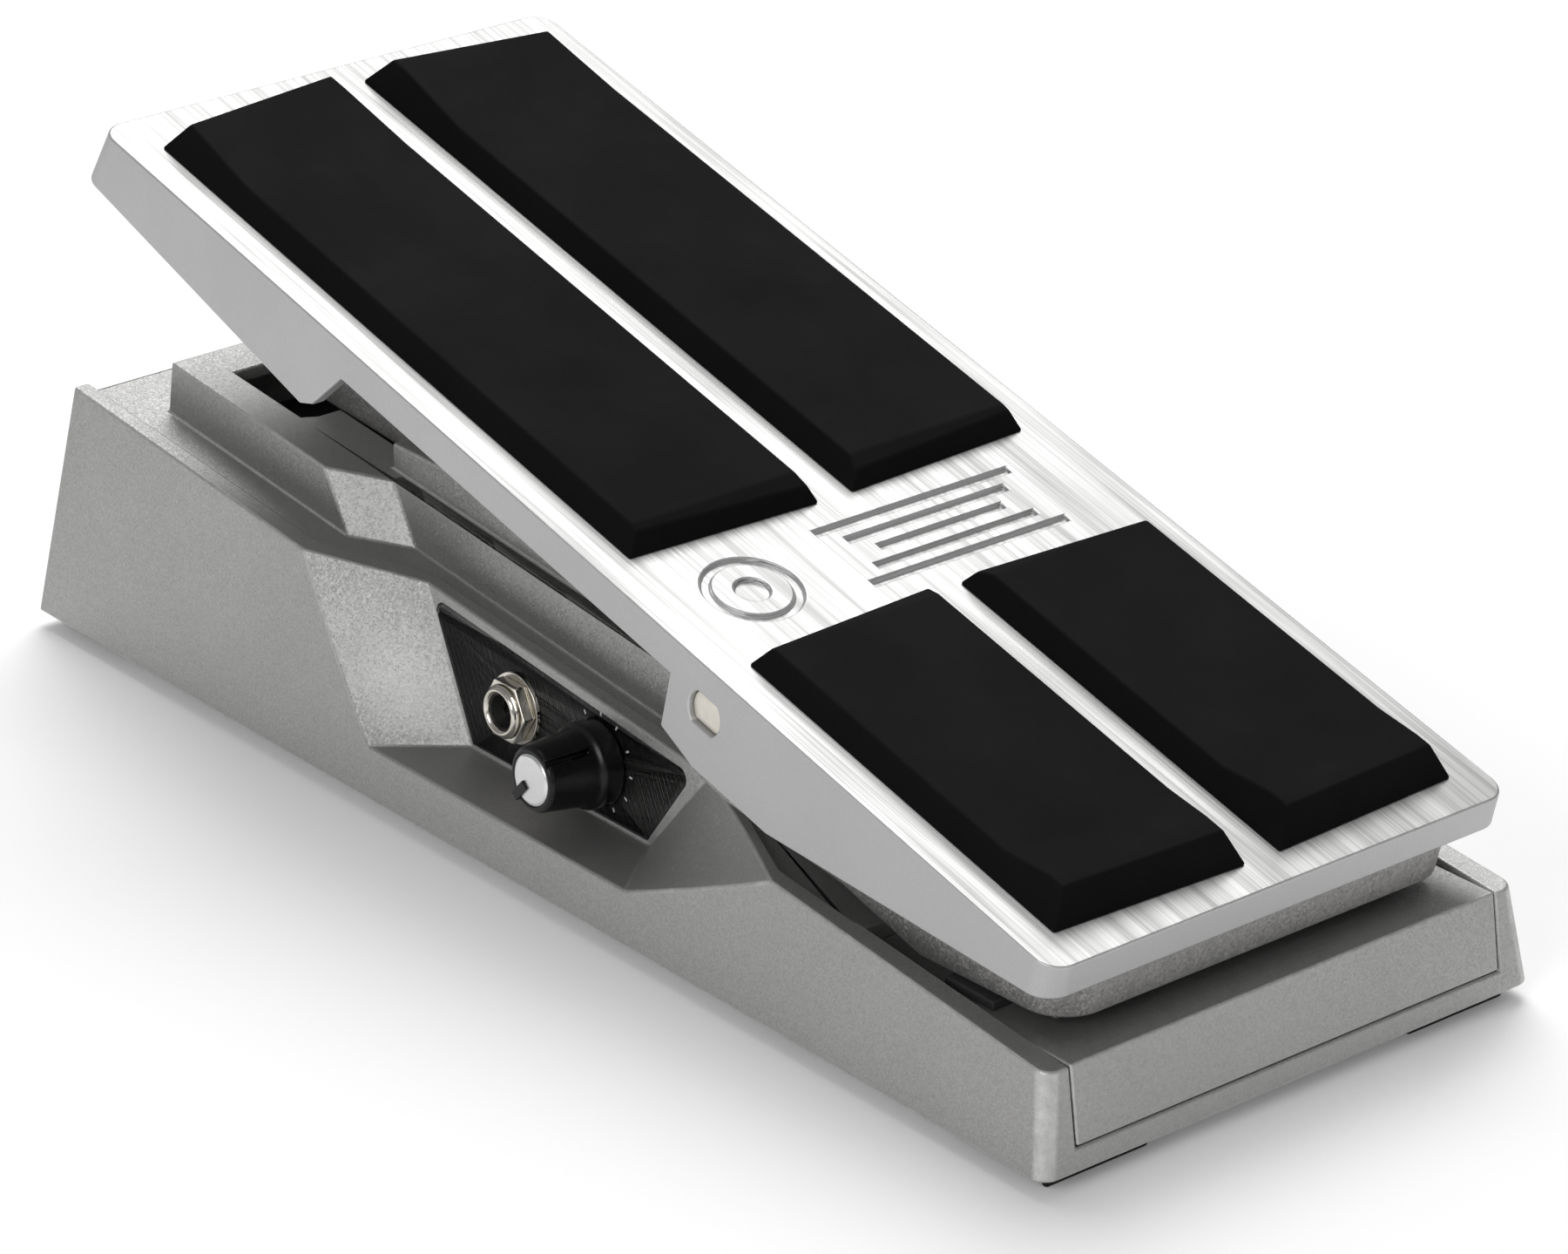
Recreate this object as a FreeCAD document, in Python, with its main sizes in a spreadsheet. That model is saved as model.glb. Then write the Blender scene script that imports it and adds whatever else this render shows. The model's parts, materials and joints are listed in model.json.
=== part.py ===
import FreeCAD, Part
import math
import os
import re

import Sketcher

# Volume pedal: a die-cast base that stands on rubber feet, and a rocking treadle on a
# cross shaft. A curved rack under the treadle turns the pinion of a potentiometer.
# Frame: +X to the player's right, +Y towards the toe, +Z up. The origin is on the
# floor, under the middle of the base. The treadle is drawn with its heel down.

os.makedirs("parts", exist_ok=True)
doc = FreeCAD.newDocument("VolumePedal")
sheet = doc.addObject("Spreadsheet::Sheet", "Sizes")

# Driving dimensions, in millimetres and degrees. Distances "from heel" are measured
# along Y from the base's heel edge, and heights from the base's bottom edge.
SIZES = [
    ("base_length", 290.0, "base, heel edge to toe edge"),
    ("base_width", 110.0, "base, at its bottom edge"),
    ("base_draft", 8.0, "lean of the base's outer walls"),
    ("casting_wall", 2.8, "wall of the base casting"),
    ("foot_height", 3.0, "rubber feet, below the base's bottom edge"),
    ("rim_start", 17.8, "rim height at the heel edge"),
    ("rim_slope", 5.78, "rise of the rim towards the toe"),
    ("rim_width", 4.0, "flat on top of the outer wall"),
    ("channel_depth", 2.0, "channel floor below the rim"),
    ("toe_slope", 6.5, "where the channel floor falls away, from the toe edge"),
    ("toe_slope_angle", 14.0, "fall of the channel floor at the toe"),
    ("recess_depth", 15.4, "side recess, at its floor"),
    ("recess_floor", 9.7, "height of the side recess's floor"),
    ("recess_lip", 2.6, "rim strip along the side recess"),
    ("floor_heel", 109.2, "recess floor: heel corner at the wall, from heel"),
    ("floor_panel_heel", 120.3, "recess floor: heel corner at the panel"),
    ("floor_panel_toe", 171.4, "recess floor: toe corner at the panel"),
    ("floor_toe", 183.9, "recess floor: toe corner at the wall"),
    ("brink_heel", 75.3, "recess at the rim: heel corner at the wall"),
    ("brink_panel_heel", 104.8, "recess at the rim: heel corner at the panel"),
    ("brink_panel_toe", 186.0, "recess at the rim: toe corner at the panel"),
    ("brink_toe", 209.0, "recess at the rim: toe corner at the wall"),
    ("panel_lean", 3.4, "lean of the side panels"),
    ("panel_thickness", 1.0, "black panels"),
    ("panel_corner", 1.4, "corners of the black panels"),
    ("block_inset", 17.5, "raised block's side, in from the base's edge"),
    ("waist_inset", 25.1, "raised block's waist, in from the base's edge"),
    ("waist_start", 202.3, "block waist's toe end at the channel, from heel"),
    ("block_shoulder", 212.4, "block's wide part starts, from heel"),
    ("shoulder_rake", 7.6, "how far the shoulder moves up the block"),
    ("block_toe_gap", 1.4, "block's toe face behind the treadle's toe wall"),
    ("toe_stop_spread", 12.0, "toe stops, each side of the centre line"),
    ("bumper_gap", 3.9, "block top below the treadle plate, toe down"),
    ("tower_inset", 28.5, "pivot tower's side, in from the base's edge"),
    ("tower_lip", 5.8, "lip on top of the pivot tower"),
    ("tower_height", 52.2, "top of the pivot tower"),
    ("tower_heel", 85.0, "pivot tower's heel end, from heel"),
    ("tower_toe", 211.7, "pivot tower's toe end, from heel"),
    ("well_width", 57.4, "wide part of the well in the block"),
    ("well_start", 237.3, "wide part's heel end, from heel"),
    ("pivot_from_heel", 90.6, "treadle axis, from heel"),
    ("pivot_height", 48.9, "treadle axis height"),
    ("pivot_radius", 4.0, "treadle shaft"),
    ("shaft_flat", 3.0, "flats on the shaft's ends, from its axis"),
    ("shaft_clearance", 0.05, "radial running clearance of the shaft"),
    ("bushing_wall", 0.95, "wall of the pivot bushings"),
    ("boss_radius", 6.0, "pivot boss on the tower"),
    ("rest_tilt", 14.46, "treadle tilt with the heel down"),
    ("travel", 13.9, "treadle travel, heel down to toe down"),
    ("heel_reveal", 3.2, "treadle's heel edge, from heel"),
    ("toe_reveal", 15.7, "treadle's toe edge, back from the base's toe edge"),
    ("side_reveal", 4.15, "treadle's side, in from the base's edge"),
    ("pivot_drop", 8.84, "axis below the treadle's top"),
    ("plate_thickness", 2.5, "treadle plate"),
    ("skirt_wall", 3.0, "treadle's side walls"),
    ("corner_radius", 4.5, "treadle's corners"),
    ("toe_lean", 4.0, "treadle's toe face, further out at its foot"),
    ("band_depth", 7.1, "treadle's edge band"),
    ("heel_depth", 6.5, "treadle's heel end"),
    ("skirt_gap", 1.45, "treadle's skirt above the rim, toe down"),
    ("skirt_length", 67.7, "deep part of the skirt, back from the toe"),
    ("ear_depth", 20.5, "treadle's ears, below its top"),
    ("ear_heel", 19.7, "ear's heel end, behind the axis"),
    ("ear_toe", 9.9, "ear's toe end, in front of the axis"),
    ("frame_inset", 6.85, "treadle frame's side, in from the treadle's edge"),
    ("frame_wall", 2.2, "walls of the treadle frame"),
    ("frame_heel", 1.8, "treadle frame's heel wall, from the treadle's edge"),
    ("frame_corner", 8.0, "treadle frame's heel corners"),
    ("frame_floor", 20.3, "lowest point of the frame's heel, heel down"),
    ("box_gap", 1.0, "treadle frame's box inside the tower's lips"),
    ("box_start", 22.5, "box's shallow heel end, in front of the axis"),
    ("box_heel", 52.0, "where the box deepens, in front of the axis"),
    ("well_margin", 11.0, "well's toe end, behind the block's toe face"),
    ("pad_side", 6.7, "pads, in from the treadle's side"),
    ("pad_rib", 7.2, "bare rib between the pads"),
    ("pad_height", 4.4, "pads above the plate"),
    ("pad_bevel_angle", 30.0, "lean of the pads' edges"),
    ("pad_lip", 1.6, "rise of the pads' raised end"),
    ("pad_crest", 8.0, "crest of the raised end, from the pad's end"),
    ("heel_pad_crease", 18.0, "crease of the heel pads' raised end, from their end"),
    ("toe_pad_crease", 27.0, "crease of the toe pads' raised end, from their end"),
    ("heel_pad_start", 6.2, "heel pads, inner corner from the treadle's edge"),
    ("heel_pad_end", 88.7, "heel pads, inner toe corner"),
    ("heel_pad_back", 2.1, "how far the heel pads' outer toe corners sit back"),
    ("toe_pad_start", 118.0, "toe pads, inner heel corner"),
    ("toe_pad_margin", 6.4, "toe pads, inner toe corner from the toe"),
    ("toe_pad_back", 4.1, "how far the toe pads' outer toe corners sit back"),
    ("pad_back", 1.4, "how far the pads' outer heel corners sit back"),
    ("cover_width", 94.6, "heel cover"),
    ("cover_reach", 55.0, "heel cover's top, from heel"),
    ("cover_top", 18.3, "top of the heel cover"),
    ("cover_bottom", 4.4, "lower edge of the heel cover"),
    ("cover_thickness", 2.0, "heel cover"),
    ("cover_gap", 0.22, "gap round the heel cover"),
    ("bottom_thickness", 1.5, "steel bottom plate"),
    ("bottom_inset", 3.4, "bottom plate, in from the base's edge"),
    ("bottom_lift", 0.3, "bottom plate above the base's edge"),
    ("foot_size", 22.0, "square rubber feet"),
    ("foot_inset", 3.7, "feet, in from the base's edges"),
    ("screw_radius", 1.5, "thread of the small screws"),
    ("jack_bore", 3.3, "radius of the plug hole"),
    ("jack_sleeve", 4.75, "radius of the jack's thread"),
    ("jack_length", 13.0, "jack housing behind the wall"),
    ("tuner_jack_place", 158.5, "side jacks, from heel"),
    ("tuner_jack_height", 22.0, "side jacks, on the panel"),
    ("knob_place", 134.9, "minimum volume knob, from heel"),
    ("knob_height", 20.3, "minimum volume knob, on the panel"),
    ("knob_radius", 7.9, "knob, at its skirt"),
    ("knob_nose", 5.8, "knob, at its front"),
    ("knob_length", 14.4, "knob"),
    ("knob_skirt", 3.8, "straight skirt at the knob's foot"),
    ("knob_lift", 0.6, "knob above the panel"),
    ("toe_recess_width", 66.0, "jack recess in the toe wall"),
    ("toe_recess_bottom", 11.0, "jack recess, lower edge"),
    ("toe_recess_top", 34.0, "jack recess, upper edge"),
    ("toe_recess_depth", 12.0, "jack recess, from the toe edge"),
    ("toe_jack_spacing", 34.0, "input to output jack"),
    ("rack_radius", 100.0, "pitch radius of the curved rack"),
    ("gear_module", 0.8, "tooth size of rack and pinion"),
    ("pinion_teeth", 14.0, "pinion"),
    ("rack_width", 6.0, "rack, across X"),
    ("pinion_width", 5.0, "pinion, across X"),
    ("pinion_bearing", 6.0, "pinion's place below the axis, as an angle"),
    ("tooth_backlash", 0.12, "thinning of each tooth"),
    ("pot_radius", 8.0, "potentiometer bodies"),
    ("pot_shaft_radius", 3.0, "potentiometer shafts"),
]
ALIASES = {name for name, size, note in SIZES}

for row, (name, size, note) in enumerate(SIZES, start=1):
    sheet.set("A%d" % row, note)
    sheet.set("B%d" % row, "%g" % size)
    sheet.setAlias("B%d" % row, name)
doc.recompute()


# ---------------------------------------------------------------- helpers

def formula(text):
    """The expression with each size's name pointed at its cell."""
    def cell(match):
        word = match.group()
        return "Sizes." + word if word in ALIASES else word
    return re.sub(r"[a-z][a-z_]*", cell, str(text))


def number(text):
    """The present value of an expression."""
    return float(sheet.evalExpression(formula(text)))


def bind(thing, **expressions):
    """Bind each property of a document object to an expression."""
    for name, text in expressions.items():
        thing.setExpression(name.replace("__", "."), formula(text))
    return thing


def turned(thing, x="0", y="0", z="0", axis=(1, 0, 0), angle="0"):
    """Turn a piece about an axis through its own origin, then move it."""
    thing.Placement = FreeCAD.Placement(
        FreeCAD.Vector(0, 0, 0), FreeCAD.Rotation(FreeCAD.Vector(*axis), number(angle) or 1.0)
    )
    bind(thing, Placement__Base__x=x, Placement__Base__y=y, Placement__Base__z=z)
    bind(thing, Placement__Rotation__Angle=angle)
    return thing


def outline(body, plane, corners, lift="0"):
    """A closed polygon sketch on one of the body's own planes, corner by corner."""
    sketch = body.newObject("Sketcher::SketchObject", body.Label + "_sketch")
    origin_plane = [face for face in body.Origin.OriginFeatures if face.Role == plane][0]
    sketch.AttachmentSupport = (origin_plane, [""])
    sketch.MapMode = "FlatFace"
    bind(sketch, AttachmentOffset__Base__z=lift)
    places = [FreeCAD.Vector(number(x), number(y), 0) for x, y in corners]
    count = len(corners)
    for i in range(count):
        sketch.addGeometry(Part.LineSegment(places[i], places[(i + 1) % count]))
    for i in range(count):
        sketch.addConstraint(Sketcher.Constraint("Coincident", i, 2, (i + 1) % count, 1))
    for i, (x, y) in enumerate(corners):
        for kind, text in (("DistanceX", x), ("DistanceY", y)):
            rule = Sketcher.Constraint(kind, -1, 1, i, 1, number(text))
            index = sketch.addConstraint(rule)
            sketch.setExpression("Constraints[%d]" % index, formula(text))
    return sketch


def pad(body, sketch, length, symmetric=False, reverse=False, taper="0"):
    """Pad a sketch; a positive taper draws it in."""
    feature = body.newObject("PartDesign::Pad", body.Label + "_pad")
    feature.Profile = sketch
    feature.SideType = "Symmetric" if symmetric else "One side"
    feature.Reversed = reverse
    bind(feature, Length=length, TaperAngle="-(%s)" % taper)
    return feature


def pocket(body, sketch, length, symmetric=False, reverse=False):
    """Pocket a sketch to a given depth."""
    feature = body.newObject("PartDesign::Pocket", body.Label + "_pocket")
    feature.Profile = sketch
    feature.SideType = "Symmetric" if symmetric else "One side"
    feature.Reversed = reverse
    bind(feature, Length=length)
    return feature


def new_body(label):
    body = doc.addObject("PartDesign::Body", label)
    body.Label = label
    return body


def prism(label, plane, corners, length, lift="0", **options):
    """A body of one padded polygon."""
    body = new_body(label)
    pad(body, outline(body, plane, corners, lift), length, **options)
    return body


def edges_along(feature, axis, spread=1e-6):
    """Names of a feature's edges that run along X, Y or Z, or nearly so."""
    names = []
    for index, edge in enumerate(feature.Shape.Edges, start=1):
        size = edge.BoundBox
        spans = {"x": size.XLength, "y": size.YLength, "z": size.ZLength}
        if max(span for name, span in spans.items() if name != axis) < spread:
            names.append("Edge%d" % index)
    return names


def rounded(body, axis, radius, spread=1e-6):
    """Round every edge of a body's last feature that runs along an axis."""
    doc.recompute()
    last = body.Tip
    rounding = body.newObject("PartDesign::Fillet", body.Label + "_rounding")
    rounding.Base = (last, edges_along(last, axis, spread))
    bind(rounding, Radius=radius)
    return body


def box(label, low, high):
    """A box between two corners given as expressions."""
    block = doc.addObject("Part::Box", label)
    spans = ["(%s) - (%s)" % (top, bottom) for bottom, top in zip(low, high)]
    bind(block, Length=spans[0], Width=spans[1], Height=spans[2])
    bind(block, Placement__Base__x=low[0], Placement__Base__y=low[1], Placement__Base__z=low[2])
    return block


def rod(label, start, radius, length, axis="z"):
    """A cylinder from a point along X, Y or Z."""
    cylinder = doc.addObject("Part::Cylinder", label)
    turn = {"x": ((0, 1, 0), "90"), "y": ((1, 0, 0), "-90"), "z": ((0, 0, 1), "0")}[axis]
    turned(cylinder, start[0], start[1], start[2], turn[0], turn[1])
    bind(cylinder, Radius=radius, Height=length)
    return cylinder


def fused(label, pieces):
    joined = doc.addObject("Part::MultiFuse", label)
    joined.Shapes = pieces
    return joined


def cut(label, whole, tools):
    """Whole less one tool, or less several tools fused."""
    result = doc.addObject("Part::Cut", label)
    result.Base = whole
    result.Tool = tools[0] if len(tools) == 1 else fused(label + "_tools", tools)
    return result


def common(label, pieces):
    result = doc.addObject("Part::MultiCommon", label)
    result.Shapes = pieces
    return result


def mirrored(label, piece):
    """The piece's mirror image across the middle plane."""
    image = doc.addObject("Part::Mirroring", label)
    image.Source = piece
    image.Normal = FreeCAD.Vector(1, 0, 0)
    return image


def loft(label, low, high):
    """A ruled solid between two polygons that lie level, each a (height, corners) pair."""
    sections = []
    for end, (height, corners) in (("_low", low), ("_high", high)):
        sections.append(outline(new_body(label + end), "XY_Plane", corners, lift=height))
    solid = doc.addObject("Part::Loft", label)
    solid.Sections = sections
    solid.Solid = True
    solid.Ruled = True
    return solid


def both_sides(corners):
    """A polygon with its mirror image, from the corners of its +X half."""
    return corners + [("-(%s)" % x, y) for x, y in reversed(corners)]


def along(distance):
    """Y of a distance measured from the base's heel edge."""
    return "(%s - base_length / 2)" % distance


def up(height):
    """Z of a height measured from the base's bottom edge."""
    return "(%s + foot_height)" % height


def rim(distance):
    """Z of the rim at a distance from the base's heel edge."""
    return "(foot_height + rim_start + (%s) * tan(rim_slope))" % distance


HALF = "base_width / 2"
TREADLE_HALF = "(base_width / 2 - side_reveal)"
PIVOT_Y = along("pivot_from_heel")
PIVOT_Z = up("pivot_height")
# The treadle's heel and toe edges, along its plate from the axis. Toe down, the plate
# lies within a degree of level, so its length follows the base's.
TREADLE_HEEL = ("(pivot_drop * tan(rest_tilt)"
                " - (pivot_from_heel - heel_reveal) / cos(rest_tilt))")
TREADLE_TOE = "(base_length - toe_reveal - pivot_from_heel)"
TOE_TILT = "(rest_tilt - travel)"
UNDERSIDE = "(pivot_drop - plate_thickness)"
BLOCK_TOE = "(base_length - toe_reveal - skirt_wall - block_toe_gap)"
BLOCK_RISE = "(%s + %s + (%s - pivot_from_heel) * sin%s - bumper_gap - %s)" % (
    PIVOT_Z, UNDERSIDE, BLOCK_TOE, TOE_TILT, rim(BLOCK_TOE))
PANEL_HALF = "(base_width / 2 - recess_depth)"
TALL = "200"


# ---------------------------------------------------------------- base casting

def slope_side(offset, top=True):
    """Side-view corners of everything above, or below, a plane parallel to the rim."""
    heel, toe = "-20", "base_length + 20"
    line = [(along(heel), rim(heel) + offset), (along(toe), rim(toe) + offset)]
    level = TALL if top else "-" + TALL
    return line + [(along(toe), level), (along(heel), level)]


def base_envelope():
    """The drafted wedge, cut off along the rim."""
    body = new_body("base_envelope")
    plan = [("-" + HALF, along("0")), (HALF, along("0")),
            (HALF, along("base_length")), ("-" + HALF, along("base_length"))]
    pad(body, outline(body, "XY_Plane", plan, "foot_height"), "rim_start + base_length / 4",
        taper="base_draft")
    pocket(body, outline(body, "YZ_Plane", slope_side("")), "base_width * 2", symmetric=True)
    return body


def panel_edge(height):
    """Half distance between the side panels' planes at a height above the base's edge."""
    return "(%s - (%s - recess_floor) * tan(panel_lean))" % (PANEL_HALF, height)


def recess_tool():
    """What the right-hand side recess takes away: a ruled solid that opens upwards."""
    outer = "(%s + 6)" % HALF
    high = "(rim_start + brink_toe * tan(rim_slope) + 6)"

    def rim_rise(distance):
        return "(rim_start + (%s) * tan(rim_slope))" % distance

    def stretched(at_panel, at_wall, height):
        """The Y where a recess edge would reach the outer line, past the sloping wall."""
        panel = panel_edge(height)
        wall = "(%s - %s * tan(base_draft))" % (HALF, height)
        return "(%s + (%s - %s) * (%s - %s) / (%s - %s))" % (
            at_panel, at_wall, at_panel, outer, panel, wall, panel)

    def continued(floor_y, brink_y):
        """The Y at the high level of the line from a floor corner through the rim's plane."""
        return "(%s + (%s - %s) * (%s - recess_floor) / (%s - recess_floor))" % (
            floor_y, brink_y, floor_y, high, rim_rise(brink_y))

    low_corners = []
    high_corners = []
    for end, at_wall in (("heel", True), ("heel", False), ("toe", False), ("toe", True)):
        floor_y = "floor_panel_" + end
        brink_y = "brink_panel_" + end
        if at_wall:
            wall_brink = "brink_" + end
            floor_y = stretched(floor_y, "floor_" + end, "recess_floor")
            brink_y = stretched(brink_y, wall_brink, rim_rise(wall_brink))
        low_corners.append((outer if at_wall else PANEL_HALF, along(floor_y)))
        high_y = continued(floor_y, brink_y)
        high_corners.append((outer if at_wall else panel_edge(high), along(high_y)))
    return loft("recess_tool", (up("recess_floor"), low_corners), (up(high), high_corners))


def channel_tool():
    """The channel inside the rim, down to its sloping floor."""
    inner = "(%s - 3.2 - rim_width)" % HALF
    toe_inner = "(%s - 5.8 - rim_width)" % HALF
    lip = "(%s - 1.7 - recess_lip)" % PANEL_HALF
    plan = both_sides([
        (inner, along("cover_reach")),
        (inner, along("brink_heel - 1")),
        (lip, along("brink_panel_heel + 0.5")),
        (lip, along("brink_panel_toe + 1")),
        (toe_inner, along("brink_toe + 0.5")),
        (toe_inner, along("base_length + 5")),
    ])
    body = new_body("channel_tool")
    pad(body, outline(body, "XY_Plane", plan), TALL)
    below = slope_side(" - channel_depth", top=False)
    pocket(body, outline(body, "YZ_Plane", below), "base_width * 2", symmetric=True)
    return body


def toe_slope_tool():
    """What is taken off where the channel floor falls away at the toe."""
    start = "(base_length - toe_slope)"
    end = "(base_length + 1)"
    falls = "%s - channel_depth - (toe_slope + 1) * tan(toe_slope_angle)" % rim(end)
    side = [(along(start), rim(start) + " - channel_depth"), (along(end), falls),
            (along(end), TALL), (along(start), TALL)]
    return prism("toe_slope_tool", "YZ_Plane", side, "2 * (%s - 5.8 - rim_width)" % HALF,
                 symmetric=True)


def block_plan(inset, wide_inset, waist_inset_, rake):
    """Half plan of the raised block, with its shoulders moved by rake."""
    return both_sides([
        ("(%s - waist_inset - %s)" % (HALF, waist_inset_), along("(cover_reach + 7 + %s)" % inset)),
        ("(%s - waist_inset - %s)" % (HALF, waist_inset_), along("(waist_start + %s)" % rake)),
        ("(%s - block_inset - %s)" % (HALF, wide_inset), along("(block_shoulder + %s)" % rake)),
        ("(%s - block_inset - %s)" % (HALF, wide_inset), along("(%s - %s)" % (BLOCK_TOE, inset))),
    ])


def raised_block():
    """The block that carries the tower: ruled sides, and a top parallel to the rim."""
    low = up("rim_start")
    high = "(%s + 20)" % rim("base_length")
    mid = rim("block_shoulder")
    climb = "((%s - %s) / 10)" % (high, mid)
    drop = "((%s - %s) / 10)" % (mid, low)
    solid = loft(
        "block_loft",
        (low, block_plan("0", "(-%s * 0.9)" % drop, "(-%s * 0.9)" % drop,
                         "(-%s * shoulder_rake)" % drop)),
        (high, block_plan("2", "(%s * 0.9)" % climb, "(%s * 0.9)" % climb,
                          "(%s * shoulder_rake)" % climb)),
    )
    above = prism("block_above", "YZ_Plane", slope_side(" + " + BLOCK_RISE),
                  "base_width * 2", symmetric=True)
    return cut("raised_block", solid, [above])


def tower():
    """The pivot tower: a flat-topped wall each side of the slot, with the shaft's bosses."""
    side = "(%s - tower_inset)" % HALF
    body = box("tower_box", ("-" + side, along("tower_heel"), up("rim_start")),
               (side, along("tower_toe"), up("tower_height")))
    boss = rod("tower_boss", ("-(%s - waist_inset)" % HALF, PIVOT_Y, PIVOT_Z), "boss_radius",
               "2 * (%s - waist_inset)" % HALF, "x")
    web = box("tower_web", ("-(%s - waist_inset)" % HALF, "%s - boss_radius" % PIVOT_Y,
                            up("rim_start")),
              ("%s - waist_inset" % HALF, "%s + boss_radius" % PIVOT_Y, PIVOT_Z))
    return [body, boss, web]


def base_hollow():
    """Everything that the casting is hollow under: floor, waist, block and tower."""
    floor_half = "(%s - casting_wall)" % HALF
    floor_plan = [("-" + floor_half, along("casting_wall")), (floor_half, along("casting_wall")),
                  (floor_half, along("base_length - casting_wall")),
                  ("-" + floor_half, along("base_length - casting_wall"))]
    floor = prism("hollow_floor", "XY_Plane", floor_plan, "recess_floor - casting_wall",
                  lift="foot_height", taper="base_draft")
    heel = prism("hollow_heel", "XY_Plane", [
        ("-" + floor_half, along("cover_thickness + 2 * casting_wall")),
        (floor_half, along("cover_thickness + 2 * casting_wall")),
        (floor_half, along("brink_heel - 2")), ("-" + floor_half, along("brink_heel - 2"))],
        "cover_top - cover_thickness - casting_wall", lift="foot_height", taper="base_draft")
    wide = "(%s - 8.8)" % HALF
    waist = "(%s - 1.8 - casting_wall)" % PANEL_HALF
    toe_stop = "(base_length - toe_recess_depth - casting_wall)"
    plan = both_sides([
        (wide, along("cover_reach + casting_wall")),
        (wide, along("brink_heel - 3")),
        (waist, along("brink_panel_heel - 7.5")),
        (waist, along("brink_panel_toe + 6")),
        (wide, along("brink_toe + 7")),
        (wide, along(toe_stop)),
    ])
    body = new_body("hollow_waist")
    pad(body, outline(body, "XY_Plane", plan), TALL)
    above = slope_side(" - channel_depth - casting_wall")
    pocket(body, outline(body, "YZ_Plane", above), "base_width * 2", symmetric=True)
    inner = new_body("hollow_block")
    wall = "casting_wall"
    plan = both_sides([
        ("(%s - waist_inset - 1.9 - %s)" % (HALF, wall), along("cover_reach + 12")),
        ("(%s - waist_inset - 1.9 - %s)" % (HALF, wall), along("waist_start + 14")),
        ("(%s - block_inset - 1.9 - %s)" % (HALF, wall), along("block_shoulder + 14")),
        ("(%s - block_inset - 1.9 - %s)" % (HALF, wall), along("%s - 2 - %s" % (BLOCK_TOE, wall))),
    ])
    pad(inner, outline(inner, "XY_Plane", plan), TALL)
    top = slope_side(" + %s - casting_wall" % BLOCK_RISE)
    pocket(inner, outline(inner, "YZ_Plane", top), "base_width * 2", symmetric=True)
    side = "(%s - tower_inset - casting_wall)" % HALF
    tall = box("hollow_tower", ("-" + side, along("pivot_from_heel + boss_radius + 1"), "0"),
               (side, along("tower_toe - casting_wall"), up("tower_height - casting_wall")))
    return [floor, heel, body, inner, tall]


def well_tools():
    """The open slot in the tower and the wider well in the block."""
    lip = "(%s - tower_inset - tower_lip)" % HALF
    end = "(%s - well_margin)" % BLOCK_TOE
    slot = box("well_slot", ("-" + lip, along("pivot_from_heel + boss_radius + 12"), "0"),
               (lip, along("tower_toe + 8.5"), TALL))
    wide = prism("well_wide", "XY_Plane", both_sides([
        (lip, along("tower_toe + 8")), (lip, along("well_start - 1.3")),
        ("well_width / 2 - 3", along("well_start - 1.3")),
        ("well_width / 2", along("well_start")), ("well_width / 2", along(end))]), TALL)
    return [slot, wide]


def cover_side(gap, proud="0"):
    """Side-view corners of the heel cover, grown by a gap and standing proud at the heel."""
    lean = "tan(base_draft)"
    low = "(cover_bottom - %s)" % gap
    top = "(cover_top + %s)" % gap
    under = "(cover_top - cover_thickness - %s)" % gap
    deep = "(cover_thickness + %s)" % gap
    return [
        (along("%s * %s - %s" % (low, lean, proud)), up(low)),
        (along("%s * %s - %s" % (top, lean, proud)), up(top)),
        (along("cover_reach + %s" % gap), up(top)),
        (along("cover_reach + %s" % gap), up(under)),
        (along("%s * %s + %s" % (under, lean, deep)), up(under)),
        (along("%s * %s + %s" % (low, lean, deep)), up(low)),
    ]


def cover_tools():
    """The seat of the heel cover, and the open deck above it."""
    seat = prism("cover_seat", "YZ_Plane", cover_side("cover_gap", "1"),
                 "cover_width + 2 * cover_gap", symmetric=True)
    above = box("cover_above",
                ("-cover_width / 2 - cover_gap", along("-5"), up("cover_top")),
                ("cover_width / 2 + cover_gap", along("cover_reach + cover_gap"), TALL))
    return [seat, above]


def toe_recess_tool():
    half = "toe_recess_width / 2"
    return box("toe_recess_tool",
               ("-" + half, along("base_length - toe_recess_depth"), up("toe_recess_bottom")),
               (half, along("base_length + 5"), up("toe_recess_top")))


BOTTOM_SCREW_X = "(%s - 11)" % HALF
BOTTOM_SCREW_Y = [along("13"), along("68"), along("brink_toe + 9"), along("base_length - 19")]


def screw_places():
    return [(side + BOTTOM_SCREW_X, y) for side in ("-", "") for y in BOTTOM_SCREW_Y]


def screw_columns():
    """Columns inside the casting for the bottom plate's screws, and their pilot holes."""
    seat = up("bottom_lift + bottom_thickness")
    columns = []
    pilots = []
    for number_, (x, y) in enumerate(screw_places()):
        top = up("cover_top - cover_thickness - 1") if number_ % 4 < 2 else up("rim_start + 12")
        columns.append(rod("column_%d" % number_, (x, y, seat), "3.4", "%s - %s" % (top, seat)))
        pilots.append(rod("pilot_%d" % number_, (x, y, seat + " - 1"), "screw_radius - 0.2", "10"))
    return columns, pilots


# ---------------------------------------------------------------- panels, jacks and pots

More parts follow.
